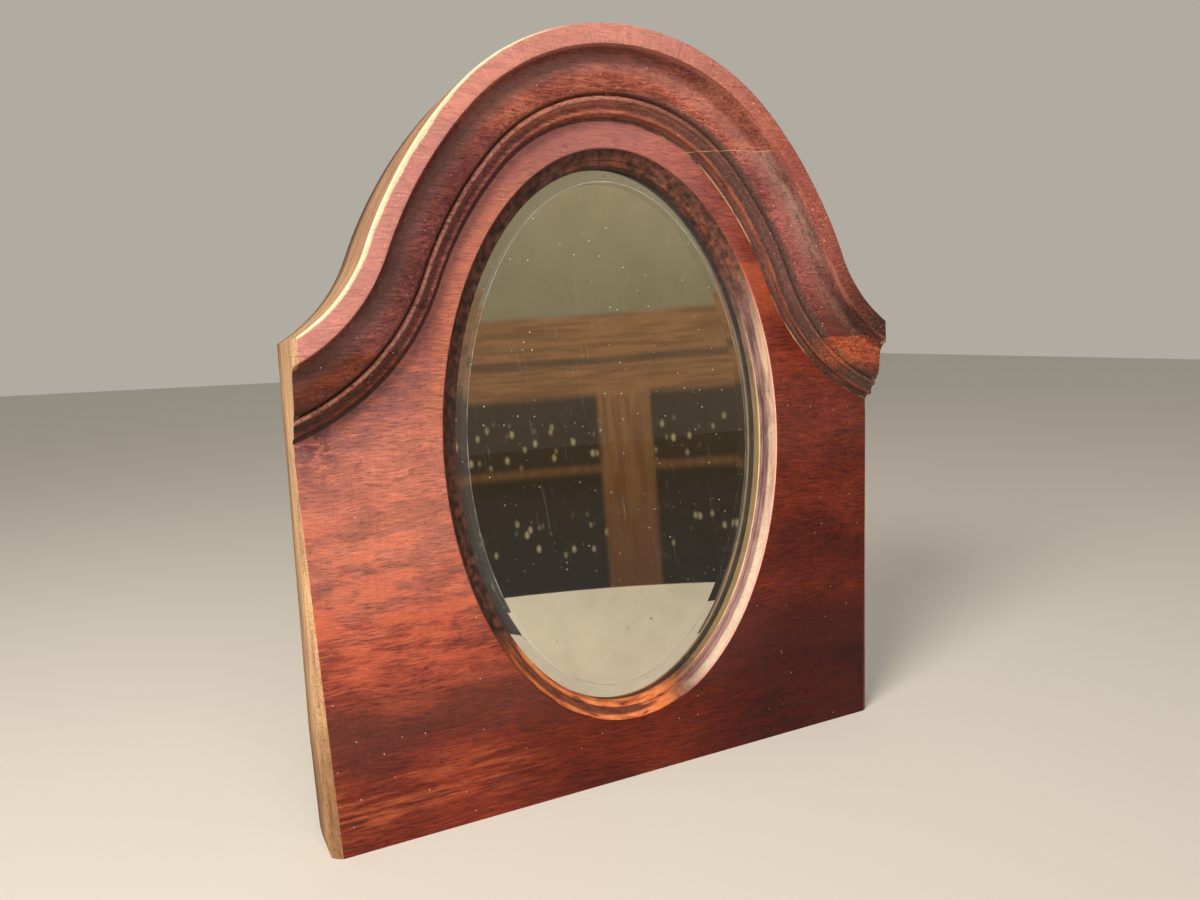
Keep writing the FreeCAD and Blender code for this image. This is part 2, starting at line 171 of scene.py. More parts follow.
def move(mesh, matrix):
    """Carry a whole mesh to another place."""
    bmesh.ops.transform(mesh, matrix=matrix, verts=mesh.verts[:])


def set_at(place, angle, axis):
    """The matrix that turns a thing about its own origin and then sets it at a place."""
    return Matrix.Translation(place) @ Matrix.Rotation(angle, 4, axis)


def merge(mesh):
    """Join the vertices that lie on one another."""
    bmesh.ops.remove_doubles(mesh, verts=mesh.verts[:], dist=MERGE * 10)


def add_to(mesh, part):
    """Copy a finished part into a larger mesh and let the part go."""
    loose = bpy.data.meshes.new("part")
    part.to_mesh(loose)
    part.free()
    mesh.from_mesh(loose)
    bpy.data.meshes.remove(loose)


print("vertices nearer than", MERGE * 10, "m are joined, and a saw cut is", 2 * KERF, "m wide")

# %% [markdown]
# Lines are drawn point by point, as with a pencil. A quarter turn is spun round its corner and
# then stretched, so that a moulding's hollows can be drawn from where they end. A ring that is
# extruded again and again becomes a wall, such as the wall of the oval hole.

# %% Helpers for drawing and sweeping
ALONG_X = Vector((1, 0, 0))
ALONG_Y = Vector((0, 1, 0))


def dot_at(mesh, *place):
    """One new vertex."""
    return bmesh.ops.create_vert(mesh, co=Vector(place))["vert"][0]


def line(mesh, vertex, *place):
    """Run a straight edge from a vertex to a place, and return its far end."""
    end = bmesh.ops.extrude_vert_indiv(mesh, verts=[vertex])["verts"][0]
    end.co = Vector(place)
    return end


def close_line(mesh, last, first):
    """Join the last vertex of a drawn line to its first."""
    bmesh.ops.contextual_create(mesh, geom=[last, first])


def quarter(mesh, vertex, corner, end, steps):
    """Turn a vertex a quarter round a corner, then stretch the arc so that it ends in place."""
    from_corner, to_end = vertex.co - Vector(corner), Vector(end) - Vector(corner)
    turn = math.copysign(math.pi / 2, from_corner.cross(to_end).x)
    before = len(mesh.verts)
    spun = bmesh.ops.spin(mesh, geom=[vertex], cent=corner, axis=ALONG_X, angle=turn, steps=steps)
    stretch = Vector((1, 1, 1))
    stretch[1 if abs(to_end.y) > abs(to_end.z) else 2] = to_end.length / from_corner.length
    bmesh.ops.scale(mesh, vec=stretch, space=Matrix.Translation(-Vector(corner)),
                    verts=mesh.verts[before:])
    return only(BMVert, spun["geom_last"])[0]


def circle(mesh, radius, segments, matrix, filled=False):
    """Draw a circle, which lies across z before the matrix places it, and return its vertices."""
    return bmesh.ops.create_circle(mesh, cap_ends=filled, radius=radius, segments=segments,
                                   matrix=matrix)["verts"]


def ring_edges(vertices):
    """The edges of a circle, in the order in which its vertices come."""
    return list(dict.fromkeys(edge for vertex in vertices for edge in vertex.link_edges))


def next_ring(mesh, edges, taper, centre, step):
    """Extrude a ring of edges, scale it about a centre, push it back by a step and return it."""
    made = bmesh.ops.extrude_edge_only(mesh, edges=edges)["geom"]
    moved = only(BMVert, made)
    bmesh.ops.scale(mesh, vec=taper, space=Matrix.Translation(-centre), verts=moved)
    bmesh.ops.translate(mesh, vec=(0, step, 0), verts=moved)
    return [edge for edge in only(BMEdge, made) if all(vertex in moved for vertex in edge.verts)]


def sweep(mesh, drawn, centre, angle, steps):
    """Spin a drawn line about a centre on the board's face, and return its last place."""
    return bmesh.ops.spin(mesh, geom=drawn, cent=centre, axis=ALONG_Y, angle=angle,
                          steps=steps)["geom_last"]


def sweep_arch(mesh, drawn, steps, last_angle):
    """Sweep a line drawn at the top of the arch down its right side, over all three arcs."""
    drawn = sweep(mesh, drawn, CROWN_CENTRE, CROWN_SWEEP, steps[0])
    drawn = sweep(mesh, drawn, SHOULDER_CENTRE, SHOULDER_SWEEP - CROWN_SWEEP, steps[1])
    return sweep(mesh, drawn, FLARE_CENTRE, last_angle - SHOULDER_SWEEP, steps[2])


def both_halves(mesh):
    """Add the left half to a drawn right half, joined in the middle."""
    bmesh.ops.mirror(mesh, geom=everything(mesh), matrix=Matrix.Identity(4), merge_dist=MERGE * 10,
                     axis="X")


print("the arch turns", round(math.degrees(SHOULDER_SWEEP), 1), "degrees before it flares out")

# %% [markdown]
# The rest is bench work: filling an outline, giving it a thickness, sawing it off, scoring a line
# across it, and taking off the arrises, which no real piece of wood or brass keeps sharp.

# %% Helpers for filling, sawing and easing
def fill_between(mesh, edges):
    """Fill a flat outline, leaving the holes that are drawn in it, and return the faces."""
    return only(BMFace, bmesh.ops.triangle_fill(mesh, use_beauty=True, use_dissolve=False,
                                                edges=edges)["geom"])


def fill_flat(mesh, depth):
    """Fill between all the open edges that lie at one depth."""
    fill_between(mesh, [edge for edge in mesh.edges if len(edge.link_faces) < 2
                        and all(abs(vertex.co.y - depth) < 1e-6 for vertex in edge.verts)])


def thicken(mesh, faces, *step):
    """Push a copy of flat faces away by a step, with walls between them."""
    raised = bmesh.ops.extrude_face_region(mesh, geom=faces)["geom"]
    bmesh.ops.translate(mesh, vec=step, verts=only(BMVert, raised))


def saw(mesh, point, away):
    """Cut a closed mesh with a plane, drop the side that `away` points to and fill the cut."""
    cut = bmesh.ops.bisect_plane(mesh, geom=everything(mesh), dist=MERGE, plane_co=Vector(point),
                                 plane_no=Vector(away), clear_outer=True)
    rim = only(BMEdge, cut["geom_cut"])
    return bmesh.ops.holes_fill(mesh, edges=rim, sides=0)["faces"]


def score(mesh, height):
    """Cut edges into a mesh at a height, without parting it."""
    bmesh.ops.bisect_plane(mesh, geom=everything(mesh), dist=MERGE, plane_co=(0, 0, height),
                           plane_no=(0, 0, 1))


def ease(mesh, edges, width, segments=2):
    """Round the given arrises off."""
    bmesh.ops.bevel(mesh, geom=edges, offset=width, segments=segments, profile=0.5, affect="EDGES",
                    material=-1, clamp_overlap=True)


def sharp_edges(mesh, degrees=35):
    """Every edge that turns by more than an angle."""
    limit = math.radians(degrees)
    return [edge for edge in mesh.edges
            if len(edge.link_faces) == 2 and edge.calc_face_angle() > limit]


print("bench helpers:", ", ".join(tool.__name__ for tool in (fill_flat, thicken, saw, score, ease)))

# %% [markdown]
# A finished mesh becomes an object in one place, so that every piece is treated alike: doubles
# are merged, the faces are turned outwards, and the mesh is leaned back. Faces that meet at a
# small angle are shaded smooth, and the rest keep their crease. The piece then rides on a body of
# the frame and hides the solids that it stands for.

# %% Finish a piece
def add_object(name, data):
    """Put a mesh, a lamp or a camera into the scene."""
    thing = bpy.data.objects.new(name, data)
    bpy.context.scene.collection.objects.link(thing)
    return thing


def finish_piece(name, mesh, body, nodes, material, crease=30):
    """Turn an upright bmesh into a leaned object on its body, shaded smooth between its arrises."""
    merge(mesh)
    turn_outwards(mesh)
    move(mesh, STAND)
    open_edges = sum(1 for edge in mesh.edges if not edge.is_manifold)
    data = bpy.data.meshes.new(name)
    mesh.to_mesh(data)
    mesh.free()
    data.polygons.foreach_set("use_smooth", [True] * len(data.polygons))
    data.set_sharp_from_angle(angle=math.radians(crease))
    data.materials.append(material)
    piece = add_object(name, data)
    piece.modifiers.new("even_shading", "WEIGHTED_NORMAL").keep_sharp = True
    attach(piece, body)
    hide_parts(*nodes)
    print(name, len(data.polygons), "faces,", open_edges, "open edges")
    return piece


# %% [markdown]
# ## Building materials from nodes
# Every finish here is made of a few kinds of noise that are stretched, cut off and laid over each
# other, as a polisher lays coats. These helpers keep that readable. Each takes sockets or plain
# numbers, adds one node and hands back its result. The pattern is always read on the upright
# board, in metres.

# %% Helpers for nodes
def paint(red, green, blue):
    """A colour from a paint chart, 0 to 255, as a shader wants it."""
    def linear(value):
        share = value / 255
        return share / 12.92 if share < 0.04045 else ((share + 0.055) / 1.055) ** 2.4
    return linear(red), linear(green), linear(blue), 1


def feed(socket, value):
    """Link a socket to another one, or set it to a number or to a colour of the paint chart."""
    if isinstance(value, bpy.types.NodeSocket):
        socket.id_data.links.new(value, socket)
    elif socket.type == "RGBA" and len(value) == 3:
        socket.default_value = paint(*value)
    else:
        socket.default_value = value


def put(kind, inputs, tree=None, **settings):
    """Add a node, in the tree of the links that it takes, with its settings and its inputs."""
    if tree is None:
        links = [value for value in inputs.values() if isinstance(value, bpy.types.NodeSocket)]
        tree = links[0].id_data
    node = tree.nodes.new("ShaderNode" + kind)
    for setting, value in settings.items():
        setattr(node, setting, value)
    for socket, value in inputs.items():
        feed(node.inputs[socket], value)
    return node


def material_tree(name):
    """A new material and its node tree."""
    material = bpy.data.materials.new(name)
    material.use_nodes = True
    return material, material.node_tree


def finish_with(tree, **sockets):
    """Fill the shader's own sockets."""
    shader = tree.nodes["Principled BSDF"]
    for name, value in sockets.items():
        feed(shader.inputs[name.replace("_", " ")], value)


def tell(material):
    """Print how many nodes a material took, and hand it on."""
    print(material.name, len(material.node_tree.nodes), "nodes")
    return material


print("paint chart: 128 of 255 is", round(paint(128, 128, 128)[0], 3), "to a shader")

# %% [markdown]
# A pattern needs a place to be read at. Here that is the point's place on the upright board, so
# that the grain runs on through all the pieces. Stretched along the width of the board, soft
# noise turns into streaks and pores. A finish may also read what a mesh has stored, or which way
# a face looks.

# %% Helpers for places and patterns
def on_board(tree):
    """Where a point lies on the upright board."""
    leaned = {"Vector": put("TexCoord", {}, tree).outputs["Object"], "Rotation": (LEAN, 0, 0),
              "Location": TO_UPRIGHT.to_translation()}
    return put("Mapping", leaned).outputs[0]


def board_material(name):
    """A new material, its node tree, and the place on the upright board that it is read at."""
    material, tree = material_tree(name)
    return material, tree, on_board(tree)


def axes_of(vector):
    """The three parts of a place."""
    return put("SeparateXYZ", {0: vector}).outputs


def stretch(vector, scale):
    """Multiply a place by a factor on each axis, which stretches a pattern where it is below 1."""
    return put("Mapping", {"Vector": vector, "Scale": scale}).outputs[0]


def down_the_grain(vector):
    """Turn the grain so that it runs up and down."""
    return put("Mapping", {"Vector": vector, "Rotation": (0, math.pi / 2, 0)}).outputs[0]


def along_grain(vector, length, turn=0.0):
    """Stretch a pattern along the width of the board, or along a line turned from it."""
    mapped = {"Vector": vector, "Scale": (length, 1, 1), "Rotation": (0, turn, 0)}
    return put("Mapping", mapped, vector_type="TEXTURE").outputs[0]


def cloud(vector, size, detail=3.0, rough=0.5, shift=0.0):
    """Soft noise whose patches are about one size across."""
    inputs = {"Vector": vector, "Scale": 1 / size, "Detail": detail, "Roughness": rough, "W": shift}
    return put("TexNoise", inputs, noise_dimensions="4D").outputs["Fac"]


def stored(tree, name):
    """What a mesh has stored under a name: a vector, or a length as a factor."""
    return put("Attribute", {}, tree, attribute_name=name).outputs


def looks_along(tree, axis):
    """How much a face looks along an axis, whichever way."""
    return calc("ABSOLUTE", axes_of(put("TexCoord", {}, tree).outputs["Normal"])[axis])


print("places are turned upright by", round(math.degrees(LEAN), 2), "degrees")

# %% [markdown]
# A mask is a number from 0 to 1 that says where a coat lies. It is cut out of a pattern or out of
# a place with a soft step, pushed about so that its border wanders, and multiplied with others.
# Coats then cover, and stains darken, where their mask is.

# %% Helpers for masks and coats
def calc(how, first, second=0.0, third=0.0):
    """One step of arithmetic."""
    return put("Math", {0: first, 1: second, 2: third}, operation=how).outputs[0]


def times(first, *others):
    """Multiply numbers, or lay masks over each other."""
    for other in others:
        first = calc("MULTIPLY", first, other)
    return first


def nudge(value, pattern, amount):
    """Push a value up by a share of a pattern, which makes a straight border wander."""
    return calc("MULTIPLY_ADD", pattern, amount, value)


def window(value, low, high):
    """A soft step from 0 at one value to 1 at another."""
    inputs = {"Value": value, "From Min": low, "From Max": high}
    return put("MapRange", inputs, interpolation_type="SMOOTHSTEP").outputs["Result"]


def band(value, low, high, soft):
    """A mask that is 1 between two values and fades out over a soft edge."""
    return times(window(value, low - soft, low + soft), window(value, high + soft, high - soft))


def mix(share, below, above, how="MIX"):
    """Lay one colour over another."""
    colours = {0: share, 6: below, 7: above}
    return put("Mix", colours, data_type="RGBA", blend_type=how).outputs[2]


def coat(below, mask, share, colour, how="MIX"):
    """Paint over a colour where a mask is, and let it cover only a share of what is below."""
    return mix(mask if share == 1 else times(mask, share), below, colour, how)


def stain(below, mask, share, colour):
    """Darken and tint a colour where a mask is, as a glaze does."""
    return coat(below, mask, share, colour, "MULTIPLY")


def ramp(value, *stops):
    """A colour that changes with a value, through stops of a place and a colour."""
    node = put("ValToRGB", {"Fac": value})
    elements = node.color_ramp.elements
    for element, (place, colour) in zip(elements, (stops[0], stops[-1])):
        element.position, element.color = place, paint(*colour)
    for place, colour in stops[1:-1]:
        elements.new(place).color = paint(*colour)
    return node.outputs["Color"]


def relief(height, distance, below=None):
    """Turn a height pattern into bumps of a real depth."""
    inputs = {"Height": height, "Distance": distance, "Strength": 1.0}
    if below:
        inputs["Normal"] = below
    return put("Bump", inputs).outputs[0]


def grain_relief(hairlines, pores, depth):
    """The bumps of raised grain with sunken pores."""
    return relief(nudge(hairlines, pores, -0.6), depth)


print("coats:", coat.__name__, stain.__name__, ramp.__name__, relief.__name__)

# %% [markdown]
# ## Mahogany
# The same timber shows in three ways. Polished faces are stained red-brown, with streaks and fine
# pores that run across the board. Edges that a saw or sandpaper went over are raw: tan, with dark
# pores. Both are built here as colours, so that each piece can mix them by where its edges are.

# %% Stained and raw timber
def timber_figure(spot):
    """The timber's tone, from 0 to 1, its open pores, and the fine relief of its grain."""
    drift = calc("SUBTRACT", cloud(spot, 0.06, 2), 0.5)
    bend = put("CombineXYZ", {"Z": times(drift, 0.009)}).outputs[0]
    bent = put("VectorMath", {0: spot, 1: bend}, operation="ADD").outputs[0]
    broad = cloud(along_grain(bent, 1.8), 0.03, 5, 0.6)
    streaks = cloud(along_grain(bent, 10), 0.004, 5, 0.65)
    hairlines = cloud(along_grain(bent, 12, 0.02), 0.0009, 4, 0.75)
    tone = nudge(times(broad, 0.7), streaks, 0.5)
    tone = nudge(calc("SUBTRACT", tone, 0.675), hairlines, 1.15)
    pores = window(cloud(along_grain(bent, 9), 0.0006, 2, 0.6), 0.55, 0.62)
    return tone, pores, hairlines


def stained(spot, dark, middle, light):
    """Stained timber: its colour, and the height of its pores."""
    tone, pores, hairlines = timber_figure(spot)
    colour = ramp(tone, (0.3, dark), (0.5, middle), (0.7, light))
    smoke = window(cloud(along_grain(spot, 2), 0.022, 4, 0.6, 3), 0.42, 0.7)
    colour = stain(colour, smoke, 0.5, (156, 112, 124))
    colour = stain(colour, pores, 0.6, (130, 88, 78))
    return colour, pores, hairlines


def raw_edge(spot):
    """Raw end grain: tan, crowded with fine pores, dirtier towards the back and darker towards the
    foot.
    """
    x, y, z = axes_of(spot)
    across = stretch(spot, (1, 1, 0.45))
    streaked = stretch(spot, (0.07, 1, 0.07))
    tone = cloud(across, 0.01, 5, 0.6, 5)
    saw_marks = cloud(streaked, 0.0018, 4, 0.65, 3)
    mixed = nudge(times(tone, 0.2), saw_marks, 0.8)
    colour = ramp(mixed, (0.36, (146, 112, 82)), (0.5, (188, 148, 108)), (0.64, (216, 178, 134)))
    weathered = window(nudge(z, tone, 0.06), 0.2, 0.31)
    colour = stain(colour, weathered, 0.85, (200, 186, 188))
    sooty = times(weathered, window(nudge(y, mixed, 0.012), 0.014, 0.024))
    colour = coat(colour, sooty, 0.8, (84, 58, 48))
    pores = window(cloud(across, 0.0005, 2, 0.6), 0.54, 0.62)
    colour = stain(colour, pores, 0.55, (140, 108, 86))
    grimy = window(nudge(y, tone, 0.008), 0.012, 0.024)
    colour = stain(colour, grimy, 0.6, (120, 94, 76))
    # Darker towards the foot.
    low = window(nudge(z, tone, -0.05), 0.06, 0.0)
    colour = stain(colour, low, 0.7, (164, 138, 114))
    return colour


def specks(colour, spot, amount=0.07, size=0.005):
    """Tiny pale specks of dust and of filler in the open pores."""
    cells = put("TexVoronoi", {"Vector": spot, "Scale": 1 / size, "Randomness": 1.0})
    dots = window(calc("SUBTRACT", cells.outputs["Distance"], amount), 0.0, -0.035)
    some = window(put("SeparateColor", {"Color": cells.outputs["Color"]}).outputs[0], 0.55, 0.6)
    return coat(colour, times(dots, some), 1, (226, 200, 178))


# %% [markdown]
# ## The finish of the board
# The stain took unevenly. A dark band crosses the board low down with a livelier orange streak
# under it, and a purple bloom follows the foot of the moulding. Shade and sheen are painted in as
# well: the board darkens towards the foot and the right side is browner than the left, partly from
# the stain and partly as painted shade away from the key lamp, and a painted sheen lies over the
# upper left. Each is a soft mask on height and width, bent by noise so that no edge is straight.

# %% Stain of the board's face
def face_stain_and_light(spot, wander, grown_mm):
    """The board's stain, with all its bands, blooms and patches, and its painted shade and sheen.
    """
    x, y, z = axes_of(spot)
    height = nudge(z, wander, 0.045)
    across = nudge(x, wander, 0.08)
    colour, pores, hairlines = stained(spot, (112, 50, 40), (160, 76, 60), (202, 110, 86))
    # Darker towards the foot: partly the stain, partly painted shade where the lamp's light falls
    # off.
    deep = window(height, 0.13, 0.02)
    colour = stain(colour, deep, 0.9, (180, 124, 88))
    ember = times(band(height, 0.075, 0.15, 0.025), window(across, 0.02, -0.1))
    patches = window(cloud(along_grain(spot, 3.5), 0.008, 5, 0.65, 7), 0.45, 0.58)
    colour = coat(colour, times(ember, patches), 0.6, (206, 98, 66))
    dusk = band(height, 0.04, 0.066, 0.016)
    colour = coat(colour, dusk, 0.7, (84, 42, 34))
    lower = band(height, 0.008, 0.032, 0.008)
    lively = window(cloud(along_grain(spot, 12), 0.003, 5, 0.7, 9), 0.44, 0.62)
    lively = times(lively, window(across, -0.02, -0.09))
    colour = coat(colour, times(lower, lively), 0.7, (186, 92, 56))
    # Painted shade: a warm dark tint along the foot, from the middle to the right.
    plain = times(window(height, 0.055, 0.035), window(across, -0.1, -0.03))
    colour = stain(colour, plain, 0.85, (204, 174, 124))
    # Browner to the right: partly the stain, partly painted shade away from the key lamp.
    brown = window(across, -0.01, 0.11)
    colour = stain(colour, brown, 0.9, (162, 104, 62))
    # Painted shade on the right of the face, away from the key lamp.
    painted_shade_right = times(band(height, 0.075, 0.145, 0.02), window(across, 0.06, 0.12))
    colour = stain(colour, painted_shade_right, 0.5, (190, 180, 160))
    haze = times(band(height, 0.15, 0.2, 0.015), window(across, 0.06, 0.1))
    colour = coat(colour, haze, 0.06, (150, 116, 106))
    # Painted sheen: a lighter veil on the upper left, as the lamps would show on the polish.
    painted_sheen = times(band(height, 0.105, 0.2, 0.025), window(across, 0.0, -0.07))
    colour = mix(painted_sheen, colour, (100, 74, 64), "SCREEN")
    # Painted sheen: the upper part, all but the right, is lifted towards a pale pink.
    painted_sheen_high = times(window(height, 0.15, 0.27), window(across, 0.1, 0.0))
    colour = coat(colour, painted_sheen_high, 0.6, (172, 118, 114))
    warm = times(window(grown_mm, 19, 10), window(x, 0.0, -0.05))
    warm = times(warm, band(height, 0.18, 0.29, 0.02))
    warm = times(warm, window(hairlines, 0.35, 0.65))
    colour = coat(colour, warm, 0.7, (218, 128, 88))
    corner = times(window(across, -0.118, -0.142), band(height, 0.168, 0.215, 0.014))
    ragged = window(cloud(along_grain(spot, 1.5), 0.004, 5, 0.7, 3), 0.45, 0.56)
    colour = coat(colour, times(corner, ragged), 0.85, (84, 42, 50))
    bloom = times(window(cloud(along_grain(spot, 2), 0.006, 5, 0.7, 2), 0.4, 0.62),
                  window(nudge(height, x, -0.55), 0.232, 0.26))
    bloom = times(bloom, window(x, -0.075, -0.12))
    colour = coat(colour, bloom, 0.75, (104, 74, 82))
    patch = times(window(nudge(x, wander, 0.004), 0.066, 0.069),
                  window(z, BOARD_SEAM + 0.0002, BOARD_SEAM - 0.0002))
    patch = times(patch, window(height, BOARD_SEAM - 0.04, BOARD_SEAM - 0.012))
    patch = times(patch, window(y, 0.004, 0.002))
    colour = coat(colour, patch, 0.42, (190, 92, 56))
    return specks(colour, spot), pores, hairlines


print("the face is stained from", round(BOARD_SEAM, 4), "m down and up")

# %% [markdown]
# The lip round the glass was cut last and never stained through: its hollow is pale, with a mauve
# band and a dark scribed line, and a dark crust lies on its left. Light is painted on it too. The
# walls that face the key lamp, on the right and lower down, are painted paler and those that face
# away are painted darker, a painted highlight runs along the outer arris on the lit side, and the
# foot is painted orange for warm light thrown up from below. Where the lip runs down to the glass
# it is painted dark olive, for the shade and the reflection in that gap. How far each point lies
# outside the sight oval was stored on the mesh, so a band here follows the oval.

# %% Colours of the lip
def lip_paint_and_light(colour, spot, wander, grown):
    """Lay the lip's colours over the board's, and return them with the height of its roughness."""
    x, y, z = axes_of(spot)
    grown_mm = times(grown, 1 / MM)
    lip = window(y, 0.0004, 0.0008)
    lip = times(lip, window(grown_mm, 9.0, 8.6))
    around = calc("ARCTAN2", calc("DIVIDE", x, SIGHT_WIDTH),
                  calc("DIVIDE", calc("SUBTRACT", OVAL_MIDDLE, z), SIGHT_HEIGHT))
    on_lip = put("CombineXYZ", {"X": times(around, 0.02), "Y": grown, "Z": y}).outputs[0]
    scraped = cloud(on_lip, 0.0022, 5, 0.6, 4)
    whiter = window(z, 0.15, 0.09)
    cream = ramp(scraped, (0.3, (140, 106, 94)), (0.48, (178, 144, 122)), (0.66, (204, 174, 148)))
    cream = coat(cream, whiter, 0.7, (214, 194, 168))
    mauve = ramp(scraped, (0.35, (78, 52, 54)), (0.6, (150, 116, 108)))
    mauve = coat(mauve, whiter, 0.6, (178, 138, 130))
    peach = ramp(scraped, (0.3, (186, 138, 108)), (0.65, (228, 190, 154)))
    pale = mix(window(grown_mm, 5.6, 4.8), cream, mauve)
    pale = mix(window(grown_mm, 1.1, 0.8), pale, peach)
    # Painted shade and reflection: dark olive where the lip runs down to the glass.
    pale = coat(pale, window(y, 0.0051, 0.0056), 0.85, (108, 94, 54))
    wobble = nudge(calc("SUBTRACT", grown_mm, 0.7), scraped, 1.4)
    smear = times(window(z, 0.14, 0.24), window(wobble, 6.2, 4.6))
    pale = mix(times(smear, 0.8), pale, mauve)
    groove = times(band(wobble, 2.5, 3.1, 0.35), window(scraped, 0.3, 0.5))
    pale = coat(pale, groove, 0.75, (66, 44, 48))
    crust = times(window(cloud(spot, 0.005, 6, 0.75, 6), 0.46, 0.7), window(x, -0.04, 0.02))
    dark_lip = mix(window(cloud(spot, 0.0035, 4, 0.6, 4), 0.35, 0.7), (50, 34, 28), (112, 70, 58))
    dark_lip = coat(dark_lip, crust, 0.75, (166, 92, 62))
    # Partly the scraped wood and the crust, partly painted light and shade: walls on the right,
    # below the top, face the key lamp and are painted pale; the others are painted dark.
    toward_lamp = window(nudge(x, wander, 0.08), 0.02, 0.06)
    low_lip = window(z, 0.26, 0.2)
    lip_colour = mix(times(toward_lamp, low_lip), dark_lip, pale)
    # Painted warm light: the lip at the foot is painted orange for warm light thrown up onto it
    # from below.
    foot_lip = times(window(z, 0.085, 0.065), window(nudge(x, scraped, 0.02), 0.042, 0.022))
    orange = ramp(scraped, (0.36, (112, 56, 44)), (0.46, (210, 108, 60)), (0.62, (246, 150, 84)))
    lip_colour = mix(times(foot_lip, 0.9), lip_colour, orange)
    hollow = times(band(grown_mm, 2.4, 5.8, 0.5), foot_lip,
                   window(nudge(x, scraped, 0.03), 0.034, 0.018))
    lip_colour = coat(lip_colour, hollow, 0.85, (64, 38, 40))
    colour = mix(lip, colour, lip_colour)
    # Partly wear, partly a painted highlight: a pale line on the lip's outer arris, on the side
    # that faces the lamp.
    worn_and_highlight = times(band(grown_mm, 7.6, 8.3, 0.2), times(toward_lamp, low_lip))
    colour = coat(colour, worn_and_highlight, 1, (232, 168, 146))
    return colour, nudge(scraped, times(crust, lip), 0.6)


print("the sight oval is", round(2 * SIGHT_WIDTH, 4), "by", round(2 * SIGHT_HEIGHT, 4), "m")

# %% [markdown]
# The board's finish is put together here. A face that looks sideways is an edge, and edges are
# raw wood. The back was never polished.

# %% Mahogany of the board
def board_mahogany():
    """The stained board, with its painted shade and sheen, its raw edges and its pale lip."""
    material, tree, spot = board_material("board_mahogany")
    y = axes_of(spot)["Y"]
    wander = calc("SUBTRACT", cloud(along_grain(spot, 2), 0.035, 4, 0.6, 1), 0.5)
    grown = stored(tree, "outside_sight")["Fac"]
    grown_mm = times(grown, 1 / MM)
    colour, pores, hairlines = face_stain_and_light(spot, wander, grown_mm)
    colour, lip_height = lip_paint_and_light(colour, spot, wander, grown)
    turned_side = window(looks_along(tree, "Y"), 0.93, 0.86)
    outside = window(grown_mm, 9.5, 12)
    turned_side = nudge(turned_side, cloud(spot, 0.002, 3), 0.4)
    raw = times(window(turned_side, 0.6, 0.75), outside)
    colour = mix(raw, colour, raw_edge(spot))
    unfinished = times(window(y, 0.0205, 0.0215), 0.55)
    colour = coat(colour, unfinished, 1, (110, 66, 44))
    bumps = grain_relief(hairlines, pores, 0.00022)
    bumps = relief(lip_height, 0.0004, bumps)
    gloss = nudge(0.42, wander, 0.35)
    gloss = calc("MAXIMUM", gloss, times(raw, 0.75))
    finish_with(tree, Base_Color=colour, Roughness=gloss, Normal=bumps, Specular_IOR_Level=0.28)
    return material


mahogany = tell(board_mahogany())
